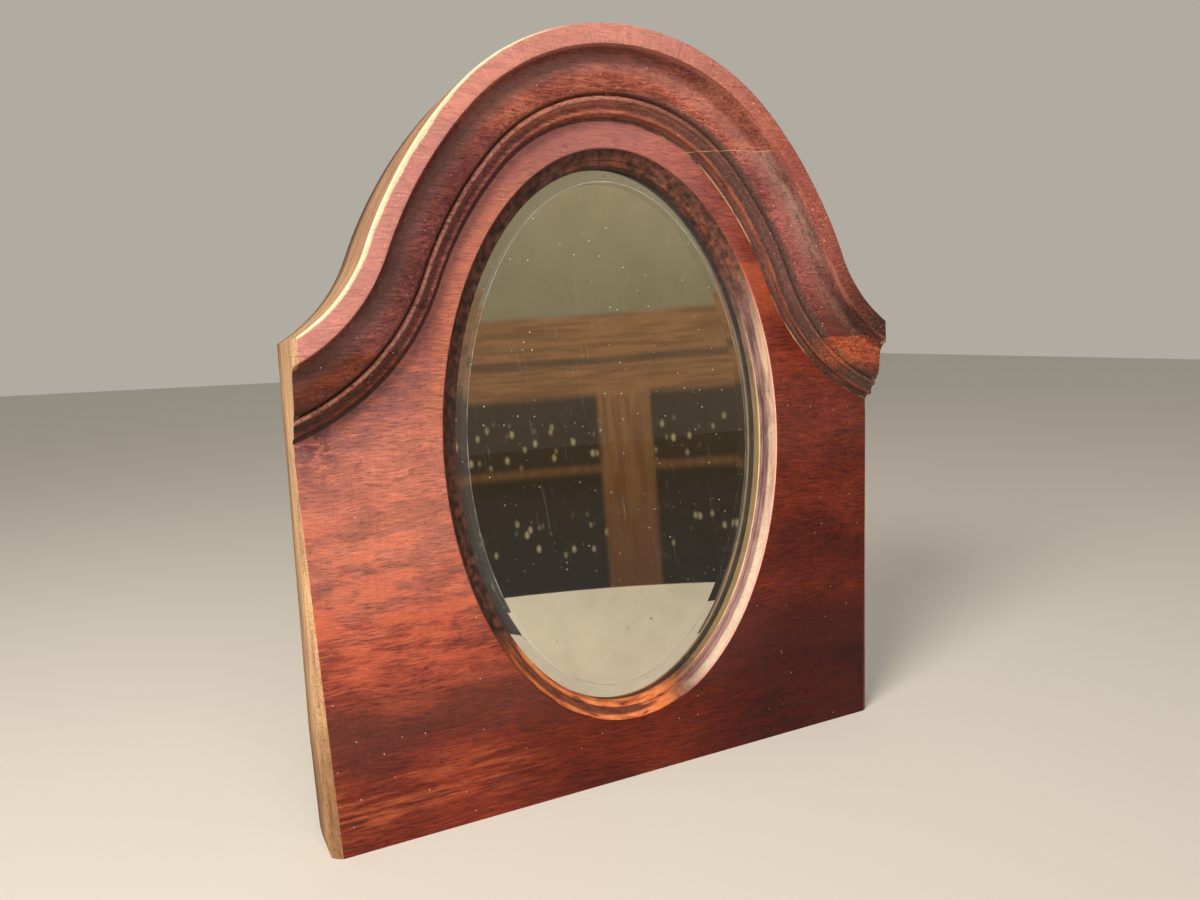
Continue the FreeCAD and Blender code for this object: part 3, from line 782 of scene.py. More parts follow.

# %% [markdown]
# ## The finish of the moulding
# The moulding's colour follows its section: the inset from its outer edge was stored on the mesh,
# and ramps and masks read it. Much of the shading is painted in. The hollow under the rim is
# painted dark as shade, most of all on the left, the rim is painted darker towards the right and
# the flanks towards their feet, away from the key lamp, and a lighter band along the swell is
# partly polish bloom and partly painted sheen. Grime and painted shade darken the corner beside the
# bead, the scotia and the quirk, the bead's top is rubbed pale and painted as a highlight, a
# painted highlight runs along the rim's inner arris on the right, and on the left the outer arris
# is bare wood. The lengths differ, because each came from its own board.

# %% Mahogany of the moulding
def moulding_mahogany(name, dark, middle, light, haze):
    """The moulding's stain, grime and wear, with painted shade and highlights, in one board's
    colours and with some grey haze.
    """
    material, tree, spot = board_material(name)
    x, y, z = axes_of(spot)
    run = stored(tree, "run")["Vector"]
    _, inset, proud = (times(part, 1 / MM) for part in axes_of(run))
    follow = stretch(run, (0.2, 1, 1))
    blotch = cloud(spot, 0.02, 4, 0.6, 1)
    fine = cloud(spot, 0.0012, 3, 0.6, 2)

    colour, pores, hairlines = stained(spot, dark, middle, light)
    rim = window(inset, 9.9, 9.1)
    face = coat(colour, 0.55, 1, (212, 148, 136))
    # Painted shade: the rim darkens towards the right, away from the key lamp.
    face = stain(face, window(x, 0.0, 0.1), 1, (200, 156, 144))
    ticked = times(window(hairlines, 0.5, 0.66), window(x, 0.0, 0.08))
    face = coat(face, ticked, 0.5, (196, 128, 112))
    tip = window(nudge(x, blotch, 0.02), 0.134, 0.158)
    face = coat(face, tip, 0.85, (80, 46, 38))
    colour = mix(rim, colour, face)
    filler = times(window(cloud(along_grain(spot, 2), 0.0008, 1, 0.5, 6), 0.6, 0.68),
                   window(blotch, 0.35, 0.6))
    colour = coat(colour, filler, 0.45, (226, 160, 136))
    # Painted shade in the hollow under the rim.
    cove_shade = band(inset, 9.6, 15.5, 0.9)
    colour = stain(colour, cove_shade, 0.7, (150, 120, 112))
    to_right = window(x, -0.01, 0.06)
    # Partly polish bloom, partly painted sheen: a lighter band along the middle of the swell.
    bloom_and_sheen = band(nudge(inset, to_right, -3), 12, 19, 2)
    bloom_and_sheen = times(bloom_and_sheen, nudge(0.1, blotch, 0.6))
    colour = mix(bloom_and_sheen, colour, mix(to_right, (142, 108, 102), (158, 106, 96)))
    shaded = times(window(inset, 9.6, 12), window(x, -0.035, -0.09))
    colour = stain(colour, shaded, 0.4, (186, 174, 172))
    streaky = cloud(follow, 0.004, 4, 0.65, 3)
    powder = nudge(streaky, fine, 0.5)
    grey = times(window(powder, 0.55, 0.95), band(inset, 11, 17, 4))
    grey = times(grey, window(x, 0.02, 0.06))
    colour = coat(colour, times(grey, haze), 1, (168, 134, 120))
    # Painted shade: the right flank darkens towards its foot.
    painted_shade_low_right = times(window(z, UPPER_SEAM - 0.03, LOWER_SEAM), window(x, 0.0, 0.06))
    colour = stain(colour, painted_shade_low_right, 1, (188, 160, 152))
    # Painted shade: the left side darkens further towards its foot.
    painted_shade_low_left = times(window(z, LOWER_SEAM + 0.012, LOWER_SEAM - 0.012), shaded)
    colour = stain(colour, painted_shade_low_left, 1, (176, 160, 160))
    # Partly dirt, partly painted shade: dark lines in the corner beside the bead, the scotia and
    # the quirk.
    dirt_and_shade = calc("MAXIMUM", band(inset, 26.8, 28.1, 0.6), times(band(inset, 31.4, 33.6, 0.7), 0.7))
    dirt_and_shade = calc("MAXIMUM", dirt_and_shade, band(inset, 35.8, 38.2, 0.5))
    dirt_and_shade = times(dirt_and_shade, window(fine, 0.2, 0.45))
    colour = coat(colour, dirt_and_shade, 0.85, (46, 28, 24))
    # Partly wear, partly a painted highlight: the bead's top is rubbed pale and catches the light.
    rubbed_and_highlight = times(band(inset, 28.7, 30.5, 0.5), window(fine, 0.35, 0.6))
    colour = coat(colour, rubbed_and_highlight, 0.6, (190, 142, 122))
    right = window(x, -0.02, 0.06)
    greasy = times(band(inset, 25.5, 36.2, 1.2), right, window(powder, 0.45, 0.75))
    colour = coat(colour, greasy, 0.85, (72, 50, 43))
    # Painted highlight along the rim's inner arris on the right.
    rim_arris_highlight = times(band(inset, 8.8, 9.3, 0.2), right, window(streaky, 0.4, 0.6))
    colour = coat(colour, rim_arris_highlight, 0.5, (206, 134, 114))
    fillet = times(band(inset, 33.8, 35.6, 0.4), window(streaky, 0.4, 0.6))
    colour = coat(colour, times(fillet, right), 0.45, (196, 108, 72))
    quirk = times(band(inset, 36.9, 37.7, 0.2), right, window(streaky, 0.44, 0.56))
    colour = coat(colour, quirk, 0.75, (198, 148, 104))
    crack = times(band(z, UPPER_SEAM - 0.00035, UPPER_SEAM, 0.00015), right)
    crack = times(crack, window(inset, 9.4, 9.8), window(blotch, 0.3, 0.45))
    colour = coat(colour, crack, 0.7, (214, 156, 112))
    left = window(x, -0.02, -0.06)
    swelling = nudge(inset, window(calc("ABSOLUTE", calc("ADD", x, 0.105)), 0.045, 0.0), -1.3)
    arris = nudge(swelling, cloud(follow, 0.004, 4, 0.65, 8), 2.4)
    arris = times(window(arris, 2.5, 1.9), left)
    colour = coat(colour, arris, 1, (232, 204, 164))
    at_end = times(window(x, 0.112, 0.132), window(z, LOWER_SEAM, LOWER_SEAM + 0.0002))
    colour = stain(colour, at_end, 1, (208, 212, 204))
    amber = times(window(x, 0.108, 0.124), window(z, LOWER_SEAM, LOWER_SEAM - 0.0002))
    amber = times(amber, window(z, LOWER_SEAM - 0.02, LOWER_SEAM - 0.01), band(inset, 12, 34, 2))
    amber = times(amber, window(fine, 0.32, 0.62), window(hairlines, 0.3, 0.6))
    colour = coat(colour, amber, 0.75, (212, 100, 46))
    colour = specks(colour, spot)
    grit = window(cloud(spot, 0.0009, 3, 0.75, 7), 0.54, 0.68)
    grit = times(grit, right, window(streaky, 0.38, 0.55))
    colour = coat(colour, grit, 0.4, (214, 146, 120))

    edge = window(proud, 17.9, 17.4)
    edge = times(edge, window(inset, 1.4, 1.0))
    ends = window(calc("ABSOLUTE", x), HALF_WIDTH - 0.0022, HALF_WIDTH - 0.0018)
    ends = times(ends, window(looks_along(tree, "X"), 0.3, 0.4))
    raw = calc("MAXIMUM", edge, ends)
    colour = mix(raw, colour, raw_edge(spot))
    bumps = grain_relief(hairlines, pores, 0.00018)
    chatter = stretch(run, (1, 0.22, 1))
    bumps = relief(cloud(chatter, 0.0015, 3, 0.6, 4), 0.00042, bumps)
    gloss = nudge(0.22, blotch, 0.35)
    gloss = calc("MAXIMUM", gloss, times(raw, 0.75))
    finish_with(tree, Base_Color=colour, Roughness=gloss, Normal=bumps, Specular_IOR_Level=0.45)
    return material


crest_mahogany = moulding_mahogany("crest_mahogany", (118, 54, 42), (168, 88, 70), (208, 124, 98),
                                   0.1)
flank_mahogany = moulding_mahogany("flank_mahogany", (100, 44, 44), (148, 78, 74), (190, 110, 100),
                                   0.8)
foot_mahogany = moulding_mahogany("foot_mahogany", (96, 42, 26), (152, 70, 42), (212, 112, 66), 0.2)
for timber in (crest_mahogany, flank_mahogany, foot_mahogany):
    tell(timber)

# %% [markdown]
# ## The strut's mahogany
# The leg was never meant to be seen. It is planed mahogany with a thin coat of stain, and its grain
# runs down its length.

# %% Mahogany of the strut
def strut_mahogany():
    """Thinly stained timber whose grain runs down the leg."""
    material, tree, spot = board_material("strut_mahogany")
    upright_grain = down_the_grain(spot)
    colour, pores, hairlines = stained(upright_grain, (84, 44, 30), (134, 76, 50), (176, 110, 74))
    grime = window(cloud(spot, 0.03, 4, 0.6), 0.45, 0.7)
    colour = stain(colour, grime, 0.4, (120, 100, 86))
    finish_with(tree, Base_Color=colour, Roughness=nudge(0.5, grime, 0.2),
                Normal=grain_relief(hairlines, pores, 0.00015))
    return material


leg_mahogany = tell(strut_mahogany())

# %% [markdown]
# ## Glass and silvering
# Clear glass is the shader's own transmission, with a breath of green from its iron. The mirror
# comes from the silvering behind it: a metal, almost smooth, that has clouded a little and lost
# small spots. Dust lies on the front as rough specks. A fine pale line marks the arris at which the
# bevel starts, and the ground bevel is a little hazier than the polished face.

# %% Glass
def clear_glass():
    """Old plate glass with fine scratches and dust."""
    material, tree, spot = board_material("clear_glass")
    cells = put("TexVoronoi", {"Vector": spot, "Scale": 240.0})
    chosen = window(put("SeparateColor", {"Color": cells.outputs["Color"]}).outputs[0], 0.55, 0.58)
    dust = times(window(cells.outputs["Distance"], 0.085, 0.05), chosen)
    scratches = window(cloud(along_grain(spot, 50, 1.45), 0.0003, 0, 0.5, 4), 0.78, 0.82)
    dust = calc("MAXIMUM", dust, times(scratches, 0.12))
    outside_mm = times(stored(tree, "outside_sight")["Fac"], 1 / MM)
    chipped = window(cloud(spot, 0.012, 3, 0.6, 2), 0.3, 0.7)
    arris = times(band(outside_mm, -6.1, -5.7, 0.04), nudge(0.12, chipped, 0.4))
    front = window(axes_of(spot)["Y"], 0.011, 0.0105)
    ground = times(window(outside_mm, -5.9, -5.0), front, 0.06)
    dust = calc("MAXIMUM", dust, calc("MAXIMUM", arris, ground))
    finish_with(tree, Base_Color=(0.985, 0.988, 0.97, 1), Roughness=0.0, IOR=1.52,
                Transmission_Weight=calc("SUBTRACT", 1.0, times(dust, 0.6)))
    return material


bevelled_glass = tell(clear_glass())


# %% Silvering, card and softwood for the solids that stay
def old_silver():
    """Mercury-bright silvering, clouded in patches, with dark spots."""
    material, tree, spot = board_material("old_silver")
    grime = window(cloud(spot, 0.03, 5, 0.65, 2), 0.4, 0.75)
    colour = mix(times(grime, 0.5), (232, 224, 208), (206, 196, 176))
    spots = window(cloud(spot, 0.0028, 3, 0.6, 8), 0.71, 0.76)
    colour = coat(colour, spots, 1, (60, 52, 40))
    rough = nudge(0.004, grime, 0.02)
    finish_with(tree, Base_Color=colour, Metallic=1.0, Roughness=rough)
    return material


def dull(name, dark, light, size, roughness):
    """A plain dull stuff of two tones, such as card or softwood."""
    material, tree = material_tree(name)
    tone = cloud(along_grain(on_board(tree), 5), size, 5, 0.65)
    finish_with(tree, Base_Color=ramp(tone, (0.3, dark), (0.7, light)), Roughness=roughness,
                Normal=relief(tone, 0.0002))
    return material


def dress_solid(node, material):
    """Give a solid of the frame that stays in view its finish."""
    slots = frame["nodes"][node].data.materials
    slots.clear()
    slots.append(material)


dress_solid("mirror_silvering", tell(old_silver()))
dress_solid("packing_card", dull("strawboard", (140, 116, 84), (186, 160, 122), 0.004, 0.9))
dress_solid("glass_wedges", dull("softwood", (190, 150, 104), (224, 190, 144), 0.002, 0.8))

# %% [markdown]
# ## Plywood and brass
# The panel is thin plywood. Its face veneer is peeled off a log, so the rings show as wide
# wandering loops with fine pores. The brass is plain old hardware: yellow where hands and the
# strut rub it, brown where they don't, and finely scratched.

# %% Plywood and brass
def birch_plywood():
    """A rotary-cut veneer, yellowed and a little dirty."""
    material, tree, spot = board_material("birch_plywood")
    upright_grain = down_the_grain(spot)
    long = along_grain(upright_grain, 3.2)
    hill = cloud(long, 0.075, 1, 0.4, 5)
    rings = calc("PINGPONG", times(hill, 9), 0.5)
    fine = cloud(along_grain(upright_grain, 18), 0.0014, 3, 0.6)
    tone = nudge(times(fine, 0.5), rings, 0.9)
    colour = ramp(tone, (0.2, (214, 178, 128)), (0.5, (204, 165, 114)), (0.72, (182, 138, 92)))
    aged = window(cloud(spot, 0.04, 5, 0.6, 6), 0.5, 0.75)
    colour = stain(colour, aged, 0.5, (190, 170, 140))
    finish_with(tree, Base_Color=colour, Roughness=0.62, Normal=relief(fine, 0.0001))
    return material


def old_brass():
    """Handled brass with brown patches and fine scratches."""
    material, tree, spot = board_material("old_brass")
    patina = window(cloud(spot, 0.009, 5, 0.65), 0.38, 0.72)
    colour = mix(patina, (206, 164, 96), (156, 114, 66))
    scratches = cloud(along_grain(spot, 20, 0.6), 0.0003, 2, 0.5)
    rough = nudge(0.27, patina, 0.22)
    finish_with(tree, Base_Color=colour, Metallic=1.0, Roughness=rough,
                Normal=relief(scratches, 0.00002))
    return material


plywood = tell(birch_plywood())
brass = tell(old_brass())
print("materials:", len(bpy.data.materials))

# %% [markdown]
# ## The board
# The board is a slab with a rounded arris all round its front and back. One short line, drawn at
# the top of the arch, holds both arrises and the edge between them, and is swept down the arch
# and then run straight down the side. It goes a little past the foot, because the foot is sawn
# off at the table's height once the slab is whole. The flat faces are filled in last, round the
# oval hole.

# %% Sweep the board's edge
ARRIS = 0.7 * MM
BELOW_FOOT = -3 * MM
side_angle = math.asin(FLARE_REACH / FLARE_RADIUS)


def board_edge(mesh):
    """The edge of the slab, from the top of the arch down to below the foot, on both sides."""
    inner = CROWN_TOP - ARRIS
    drawn = dot_at(mesh, 0, 0, inner)
    drawn = quarter(mesh, drawn, (0, ARRIS, inner), (0, ARRIS, CROWN_TOP), 6)
    drawn = line(mesh, drawn, 0, THICKNESS - ARRIS, CROWN_TOP)
    quarter(mesh, drawn, (0, THICKNESS - ARRIS, inner), (0, THICKNESS, inner), 6)
    last = sweep_arch(mesh, everything(mesh), (36, 22, 20), side_angle)
    foot = bmesh.ops.extrude_edge_only(mesh, edges=only(BMEdge, last))["geom"]
    corners = only(BMVert, foot)
    for vertex in corners:
        vertex.co.z = BELOW_FOOT
    for vertex in (min(corners, key=lambda v: v.co.y), max(corners, key=lambda v: v.co.y)):
        line(mesh, vertex, 0, vertex.co.y, BELOW_FOOT)
    both_halves(mesh)


print("the flare ends at", round(math.degrees(side_angle), 1), "degrees")

# %% [markdown]
# The hole is a stack of ovals. Each is the sight oval, at which the lip touches the glass, grown
# by some width and set at some depth. From the front they make a round arris, a hollow, a shallow
# band with a scribed groove, the land beside the glass, and then the two rabbets at the back. The
# grooved lip was cut by hand, so its rings wander a little in and out.

# %% Stack the ovals of the hole
OVAL_STEPS = 240
LIP = [(8.3, 0), (8.0, 0.1), (7.75, 0.32), (7.5, 0.7), (7.15, 1.3), (6.7, 1.95), (6.15, 2.6),
       (5.5, 3.2), (4.85, 3.62), (4.2, 3.85), (3.5, 4.0), (3.2, 4.12), (2.95, 4.5), (2.7, 4.5),
       (2.4, 4.22), (1.6, 4.6), (0.9, 4.8), (0.55, 5.1), (0.4, 6.2), (0.2, 7.8), (0, 9.0)]
GLASS_RABBET = [(7, 9.0), (7, 15.97)]
PANEL_RABBET = [(12, 15.97), (12, THICKNESS / MM)]


def oval_stack(mesh, stations):
    """Join a row of ovals, each given by its growth and its depth, into one wall."""
    grow, depth = stations[0]
    size = Matrix.Diagonal((SIGHT_WIDTH + grow * MM, SIGHT_HEIGHT + grow * MM, 1, 1))
    middle = set_at((0, depth * MM, OVAL_MIDDLE), math.pi / 2, "X")
    first = edges = ring_edges(circle(mesh, 1, OVAL_STEPS, middle @ size))
    for (grow, depth), (next_grow, next_depth) in zip(stations, stations[1:]):
        wider = (SIGHT_WIDTH + next_grow * MM) / (SIGHT_WIDTH + grow * MM)
        taller = (SIGHT_HEIGHT + next_grow * MM) / (SIGHT_HEIGHT + grow * MM)
        edges = next_ring(mesh, edges, (wider, 1, taller), Vector((0, 0, OVAL_MIDDLE)),
                          (next_depth - depth) * MM)
    return first, edges


def hand_cut_lip(mesh, wander=0.22):
    """Let the rings between the arris and the land wander, as a hand-held cutter does."""
    for vertex in mesh.verts:
        depth = vertex.co.y / MM
        if 0.5 < depth < 5.5:
            slow = noise.noise(vertex.co * 38) * wander
            quick = noise.noise(vertex.co * 160) * wander * 0.45
            vertex.co.y += (slow + quick) * MM * min(1, (depth - 0.5) * 0.8)


print("the hole:", len(LIP + GLASS_RABBET + PANEL_RABBET), "ovals of", OVAL_STEPS, "points")

# %% [markdown]
# Down both sides, the front corner was sanded away by hand: the cut is widest at the foot and
# runs out under the moulding. Three saw cuts, each a little steeper than the last, make it round
# instead of one hard chamfer. The foot is sawn last, level with the table, so that the board
# leans back by itself.

# %% Build the slab and saw it up
SANDED = [(6.9, 3.6), (6.0, 6.0), (3.6, 6.9)]
WORN_FOOT = [(1.6, 55), (2.6, 14)]
moulding_foot = FLARE_CENTRE.z - math.sqrt((FLARE_RADIUS + 37.6 * MM) ** 2 - FLARE_REACH ** 2)
table_point = TO_UPRIGHT @ Vector((0, 0, 0))
table_down = TO_UPRIGHT.to_3x3() @ Vector((0, 0, -1))


def on_table(edge):
    """Whether an edge lies in the plane of the table."""
    return all(abs((vertex.co - table_point).dot(table_down)) < 1e-6 for vertex in edge.verts)


def whole_slab():
    """The board before it is sawn at its glue line."""
    mesh = bmesh.new()
    board_edge(mesh)
    oval_stack(mesh, LIP + GLASS_RABBET + PANEL_RABBET)
    fill_flat(mesh, 0)
    fill_flat(mesh, THICKNESS)
    turn_outwards(mesh)
    hand_cut_lip(mesh)
    saw(mesh, table_point, table_down)
    for across, deep in SANDED:
        inner = Vector((HALF_WIDTH - across * MM, 0, 0))
        outer = Vector((HALF_WIDTH, deep * MM, 0))
        outward = (outer - inner).cross(Vector((HALF_WIDTH, 0, moulding_foot)) - inner).normalized()
        saw(mesh, inner, outward)
        saw(mesh, (-inner.x, 0, 0), (-outward.x, outward.y, outward.z))
    for across, height in WORN_FOOT:
        saw(mesh, (across * MM - HALF_WIDTH, 0, 0), (-height, 0, -across))
    bmesh.ops.dissolve_limit(mesh, angle_limit=math.radians(0.2), verts=mesh.verts[:],
                             edges=[edge for edge in mesh.edges if on_table(edge)])
    ease(mesh, [edge for edge in sharp_edges(mesh) if on_table(edge)], 0.5 * MM)
    return mesh


def growth(x, z):
    """How much the sight oval has to grow to reach a point, found by closing in on it."""
    low, high = -SIGHT_WIDTH, 60 * MM
    while high - low > 0.01 * MM:
        guess = (low + high) / 2
        if math.hypot(x / (SIGHT_WIDTH + guess), z / (SIGHT_HEIGHT + guess)) > 1:
            low = guess
        else:
            high = guess
    return low


def mark_lip(piece):
    """Store how far outside the sight oval each point lies, for the finish of the lip."""
    grown = piece.data.attributes.new("outside_sight", "FLOAT", "POINT")
    for number, vertex in enumerate(piece.data.vertices):
        point = TO_UPRIGHT @ vertex.co
        grown.data[number].value = growth(point.x, point.z - OVAL_MIDDLE)


def board_part(name, node, border, away):
    """The slab sawn off at one side of the glue line, as a piece."""
    mesh = whole_slab()
    saw(mesh, (0, 0, border), (0, 0, away))
    return finish_piece(name, mesh, "mirror", [node], mahogany, crease=20)


base_board = board_part("board_lower", "base_board", BOARD_SEAM - KERF, 1)
crown_board = board_part("board_crown", "crown_board", BOARD_SEAM + KERF, -1)
for piece in (base_board, crown_board):
    mark_lip(piece)

# %% [markdown]
# ## The arched moulding
# The moulding is an old run of ogee: a flat rim, a steep hollow, a broad swelling band, a thin
# bead, and then a scotia, a fillet and a quirk against the board. The table below gives where
# each step of the section ends, as an inset and a height in millimetres. A step with a corner and
# a count as well is a quarter turn round that corner, in that many chords. The section is drawn
# once at the top of the arch and swept down one side, as the plane or scraper went. The other
# side is its mirror image.

# %% Draw and sweep the section
MOULDING_WIDTH = 37.6
SECTION = [
    ((0, 8),), ((0, 17.7),), ((1.3, 19), (1.3, 17.7), 5),
    ((3, 19),), ((5.2, 19),), ((7.4, 19),), ((8.8, 19),), ((9.2, 18.7),),
    ((16.5, 12), (16.5, 18.7), 12), ((28, 7), (16.5, 7), 14), ((28, 7.5),),
    ((29.2, 7.9), (29.2, 7.5), 4), ((30.4, 7.4), (29.2, 7.4), 4),
    ((33.6, 4.8), (33.6, 7.4), 9), ((34.6, 4.8),), ((35.4, 4), (34.6, 4), 4),
    ((MOULDING_WIDTH, 0), (MOULDING_WIDTH, 4), 8),
]


def section_point(inset, height):
    """A point of the section at the top of the arch, from its inset and height in millimetres."""
    return 0, -height * MM, CROWN_TOP - inset * MM


def draw_section(mesh):
    """The closed section, from the outer edge inwards and back along the board's face."""
    first = dot = dot_at(mesh, *section_point(0, 0))
    for end, *turn in SECTION:
        if turn:
            corner, steps = turn
            dot = quarter(mesh, dot, section_point(*corner), section_point(*end), steps)
        else:
            dot = line(mesh, dot, *section_point(*end))
    close_line(mesh, dot, first)


def hand_worked(mesh, depth=0.3):
    """Sink the worked surface a little here and there, as scraping and sanding by hand leave it."""
    mesh.normal_update()
    moves = []
    for vertex in mesh.verts:
        broad = noise.noise(vertex.co * 55 + Vector((0, 4, 0)))
        close = noise.noise(vertex.co * 210)
        moves.append(vertex.normal * (broad - 1 + 0.35 * (close - 1)) * 0.5 * depth * MM)
    for vertex, move in zip(mesh.verts, moves):
        if vertex.co.y < -1 * MM and abs(vertex.co.x) > 1e-6:
            vertex.co += move


END_CUTS = [(0, 0), (-16.6, -1), (-18.0, -2.6)]
WORN_TIP = [(0.0, 3.6, 16), (0.35, 2.2, 30)]
tip_height = FLARE_CENTRE.z - math.sqrt(FLARE_RADIUS ** 2 - FLARE_REACH ** 2)


def whole_moulding():
    """The moulding over the arch, sawn flush with the board's sides and eased across its ends."""
    mesh = bmesh.new()
    draw_section(mesh)
    past_side = math.asin((FLARE_REACH - MM) / (FLARE_RADIUS + MOULDING_WIDTH * MM))
    sweep_arch(mesh, everything(mesh), (64, 46, 44), past_side)
    turn_outwards(mesh)
    hand_worked(mesh)
    both_halves(mesh)
    turn_outwards(mesh)
    for side in (1, -1):
        for depth, slope in END_CUTS:
            saw(mesh, (side * HALF_WIDTH, depth * MM, 0), (side, slope, 0))
    for inwards, down, degrees in WORN_TIP:
        slope = math.radians(degrees)
        saw(mesh, (HALF_WIDTH - inwards * MM, 0, tip_height - down * MM),
            (math.cos(slope), 0, math.sin(slope)))
    return mesh


print("section:", len(SECTION), "steps,", MOULDING_WIDTH, "mm wide")

# %% [markdown]
# It was glued on in five lengths. A long run breaks along the grain where it turns, so each
# length is sawn from its own board and butted to the next. Two saw cuts, one hair apart, leave
# the fine dark joint.

# %% Saw the moulding into its lengths
def length_of_moulding(low, high, side):
    """The part of the moulding between two heights, and on one side where side is 1 or -1."""
    mesh = whole_moulding()
    if low:
        saw(mesh, (0, 0, low + KERF), (0, 0, -1))
    if high:
        saw(mesh, (0, 0, high - KERF), (0, 0, 1))
    if side:
        saw(mesh, (0, 0, 0), (-side, 0, 0))
    return mesh


def mark_run(piece):
    """Store how far along the arch and how far in from its edge each point lies."""
    run = piece.data.attributes.new("run", "FLOAT_VECTOR", "POINT")
    for number, vertex in enumerate(piece.data.vertices):
        point = TO_UPRIGHT @ vertex.co
        along, inset = place_on_arch(point)
        run.data[number].vector = (along, inset, -point.y)


LENGTHS = {
    "crest_moulding": (UPPER_SEAM, None, 0, crest_mahogany),
    "left_flank_moulding": (LOWER_SEAM, UPPER_SEAM, -1, flank_mahogany),
    "right_flank_moulding": (LOWER_SEAM, UPPER_SEAM, 1, flank_mahogany),
    "left_foot_moulding": (None, LOWER_SEAM, -1, foot_mahogany),
    "right_foot_moulding": (None, LOWER_SEAM, 1, foot_mahogany),
}
for node, (low, high, side, timber) in LENGTHS.items():
    mark_run(finish_piece(node + "_run", length_of_moulding(low, high, side), "mirror",
                          [node], timber, crease=40))

# %% [markdown]
# ## The glass
# An old bevelled mirror is a thick oval plate. Its front is ground down to a thinner edge all
# round, and its back is silvered. The plate is modelled as a real slab, because a ground bevel
# only looks right when the light bends on its way in, meets the silver at the back and bends
# again on its way out. The silver is the thin solid that the frame already has, a hair behind the
# glass.

# %% Model the glass
GLASS = [(-6.2, 8.27), (-5.9, 8.3), (4.6, 9.70), (4.95, 9.83), (4.95, 13.15), (4.8, 13.25)]


def capped_stack(stations):
    """A solid disc made of a row of ovals, closed at both ends."""
    mesh = bmesh.new()
    first, last = oval_stack(mesh, stations)
    bmesh.ops.holes_fill(mesh, edges=first, sides=0)
    bmesh.ops.holes_fill(mesh, edges=last, sides=0)
    return mesh


plate = finish_piece("bevelled_plate", capped_stack(GLASS), "mirror",
                     ["mirror_glass"], bevelled_glass, crease=3)
mark_lip(plate)

# %% [markdown]
# ## The back panel
# Seen from behind, an oval of thin plywood fills the rabbet and keeps the card and the glass in.
# Its edges are eased where a saw left them furry.

# %% Model the back panel
PANEL = [(10.9, 15.99), (11.4, 16.4), (11.4, 21.5), (11.2, 21.8), (10.9, 21.95)]
finish_piece("plywood_panel", capped_stack(PANEL), "mirror", ["back_panel"], plywood)

# %% [markdown]
# ## Turn buttons and their screws
# Four brass tabs swing over the panel. A tab is a strip with round ends: a disc's edge is split
# in two halves by moving one half away, then the outline is raised to its thickness and its
# arrises are taken off. Each is built at the origin, pointing up, then turned to its angle and
# set over its screw.

# %% Where the turn buttons go
BUTTON_THICKNESS = 1.6 * MM
BUTTON_HALF = 5 * MM
BUTTON_REACH = 16 * MM
BUTTON_OUT = 20 * MM
SLIDING_GAP = 0.1 * MM


def button_place(side, turn):
    """The screw's place on the board's back, and the angle at which its tab points inwards."""
    across, up = SIGHT_WIDTH + BUTTON_OUT, SIGHT_HEIGHT + BUTTON_OUT
    x, rise = side * across * math.cos(turn), up * math.sin(turn)
    return Vector((x, THICKNESS, OVAL_MIDDLE + rise)), math.atan2(-x / across ** 2, -rise / up ** 2)


button_places = [button_place(side, math.radians(turn)) for side in (1, -1) for turn in (30, -30)]
print("buttons at", [[round(v, 4) for v in STAND @ place] for place, _ in button_places])

# %% Model one tab and set four of them
FACE_BACK = Matrix.Rotation(-math.pi / 2, 4, "X")


def turn_button():
    """A round-ended tab that points up, with its screw at the origin."""
    mesh = bmesh.new()
    disc = circle(mesh, BUTTON_HALF, 48, FACE_BACK, filled=True)
    bmesh.ops.translate(mesh, vec=(0, 0, BUTTON_REACH), verts=[v for v in disc if v.co.z > 1e-6])
    thicken(mesh, mesh.faces[:], 0, BUTTON_THICKNESS, 0)
    turn_outwards(mesh)
    ease(mesh, sharp_edges(mesh, 50), 0.35 * MM)
    return mesh


def brass_piece(name, mesh, node, body="mirror"):
    """Finish a piece of hardware."""
    finish_piece("brass_" + name, mesh, body, [node], brass)


for number, (place, angle) in enumerate(button_places, start=1):
    tab = turn_button()
    move(tab, set_at(place + ALONG_Y * SLIDING_GAP, angle, "Y"))
    node = "turn_button_%d" % number
    brass_piece(node, tab, node, "button_%d" % number)

# %% [markdown]
# A round-headed screw is turned work, so its half section is spun a full turn about its own axis,
# and the ends of the spin are merged. The slot is a groove across the head: the two middle strips
# of the head are cut free with four saw-thin lines and pushed down.

# %% Model the screws
def turned(mesh, outline):
    """Spin a half section of radii and heights in millimetres about the axis towards the back."""
    dot = dot_at(mesh, outline[0][0] * MM, outline[0][1] * MM, 0)
    for radius, height in outline[1:]:
        dot = line(mesh, dot, radius * MM, height * MM, 0)
    bmesh.ops.spin(mesh, geom=everything(mesh), cent=(0, 0, 0), axis=ALONG_Y, angle=math.tau,
                   steps=32, use_merge=True)
    merge(mesh)
    turn_outwards(mesh)


def slotted(mesh, half_width, floor):
    """Cut a screwdriver slot across a head: score its sides, then lower what lies between them."""
    for z in (half_width * 1.12, half_width, -half_width, -half_width * 1.12):
        score(mesh, z * MM)
    for vertex in mesh.verts:
        if abs(vertex.co.z) < half_width * 1.02 * MM and vertex.co.y > floor * MM:
            vertex.co.y = floor * MM


ROUND_HEAD = [(0, -12), (0.5, -11.2), (1.45, -9.5), (1.45, 1.8), (3.15, 1.8), (3.2, 1.9),
              (3.2, 2.6), (3.05, 3.0), (2.7, 3.3), (2.1, 3.5), (1.2, 3.58), (0, 3.6)]
FLAT_HEAD = [(0, -14), (0.5, -13), (1.55, -11), (1.55, -1.4), (2.85, -0.12), (2.85, -0.02),
             (2.7, 0), (0, 0)]


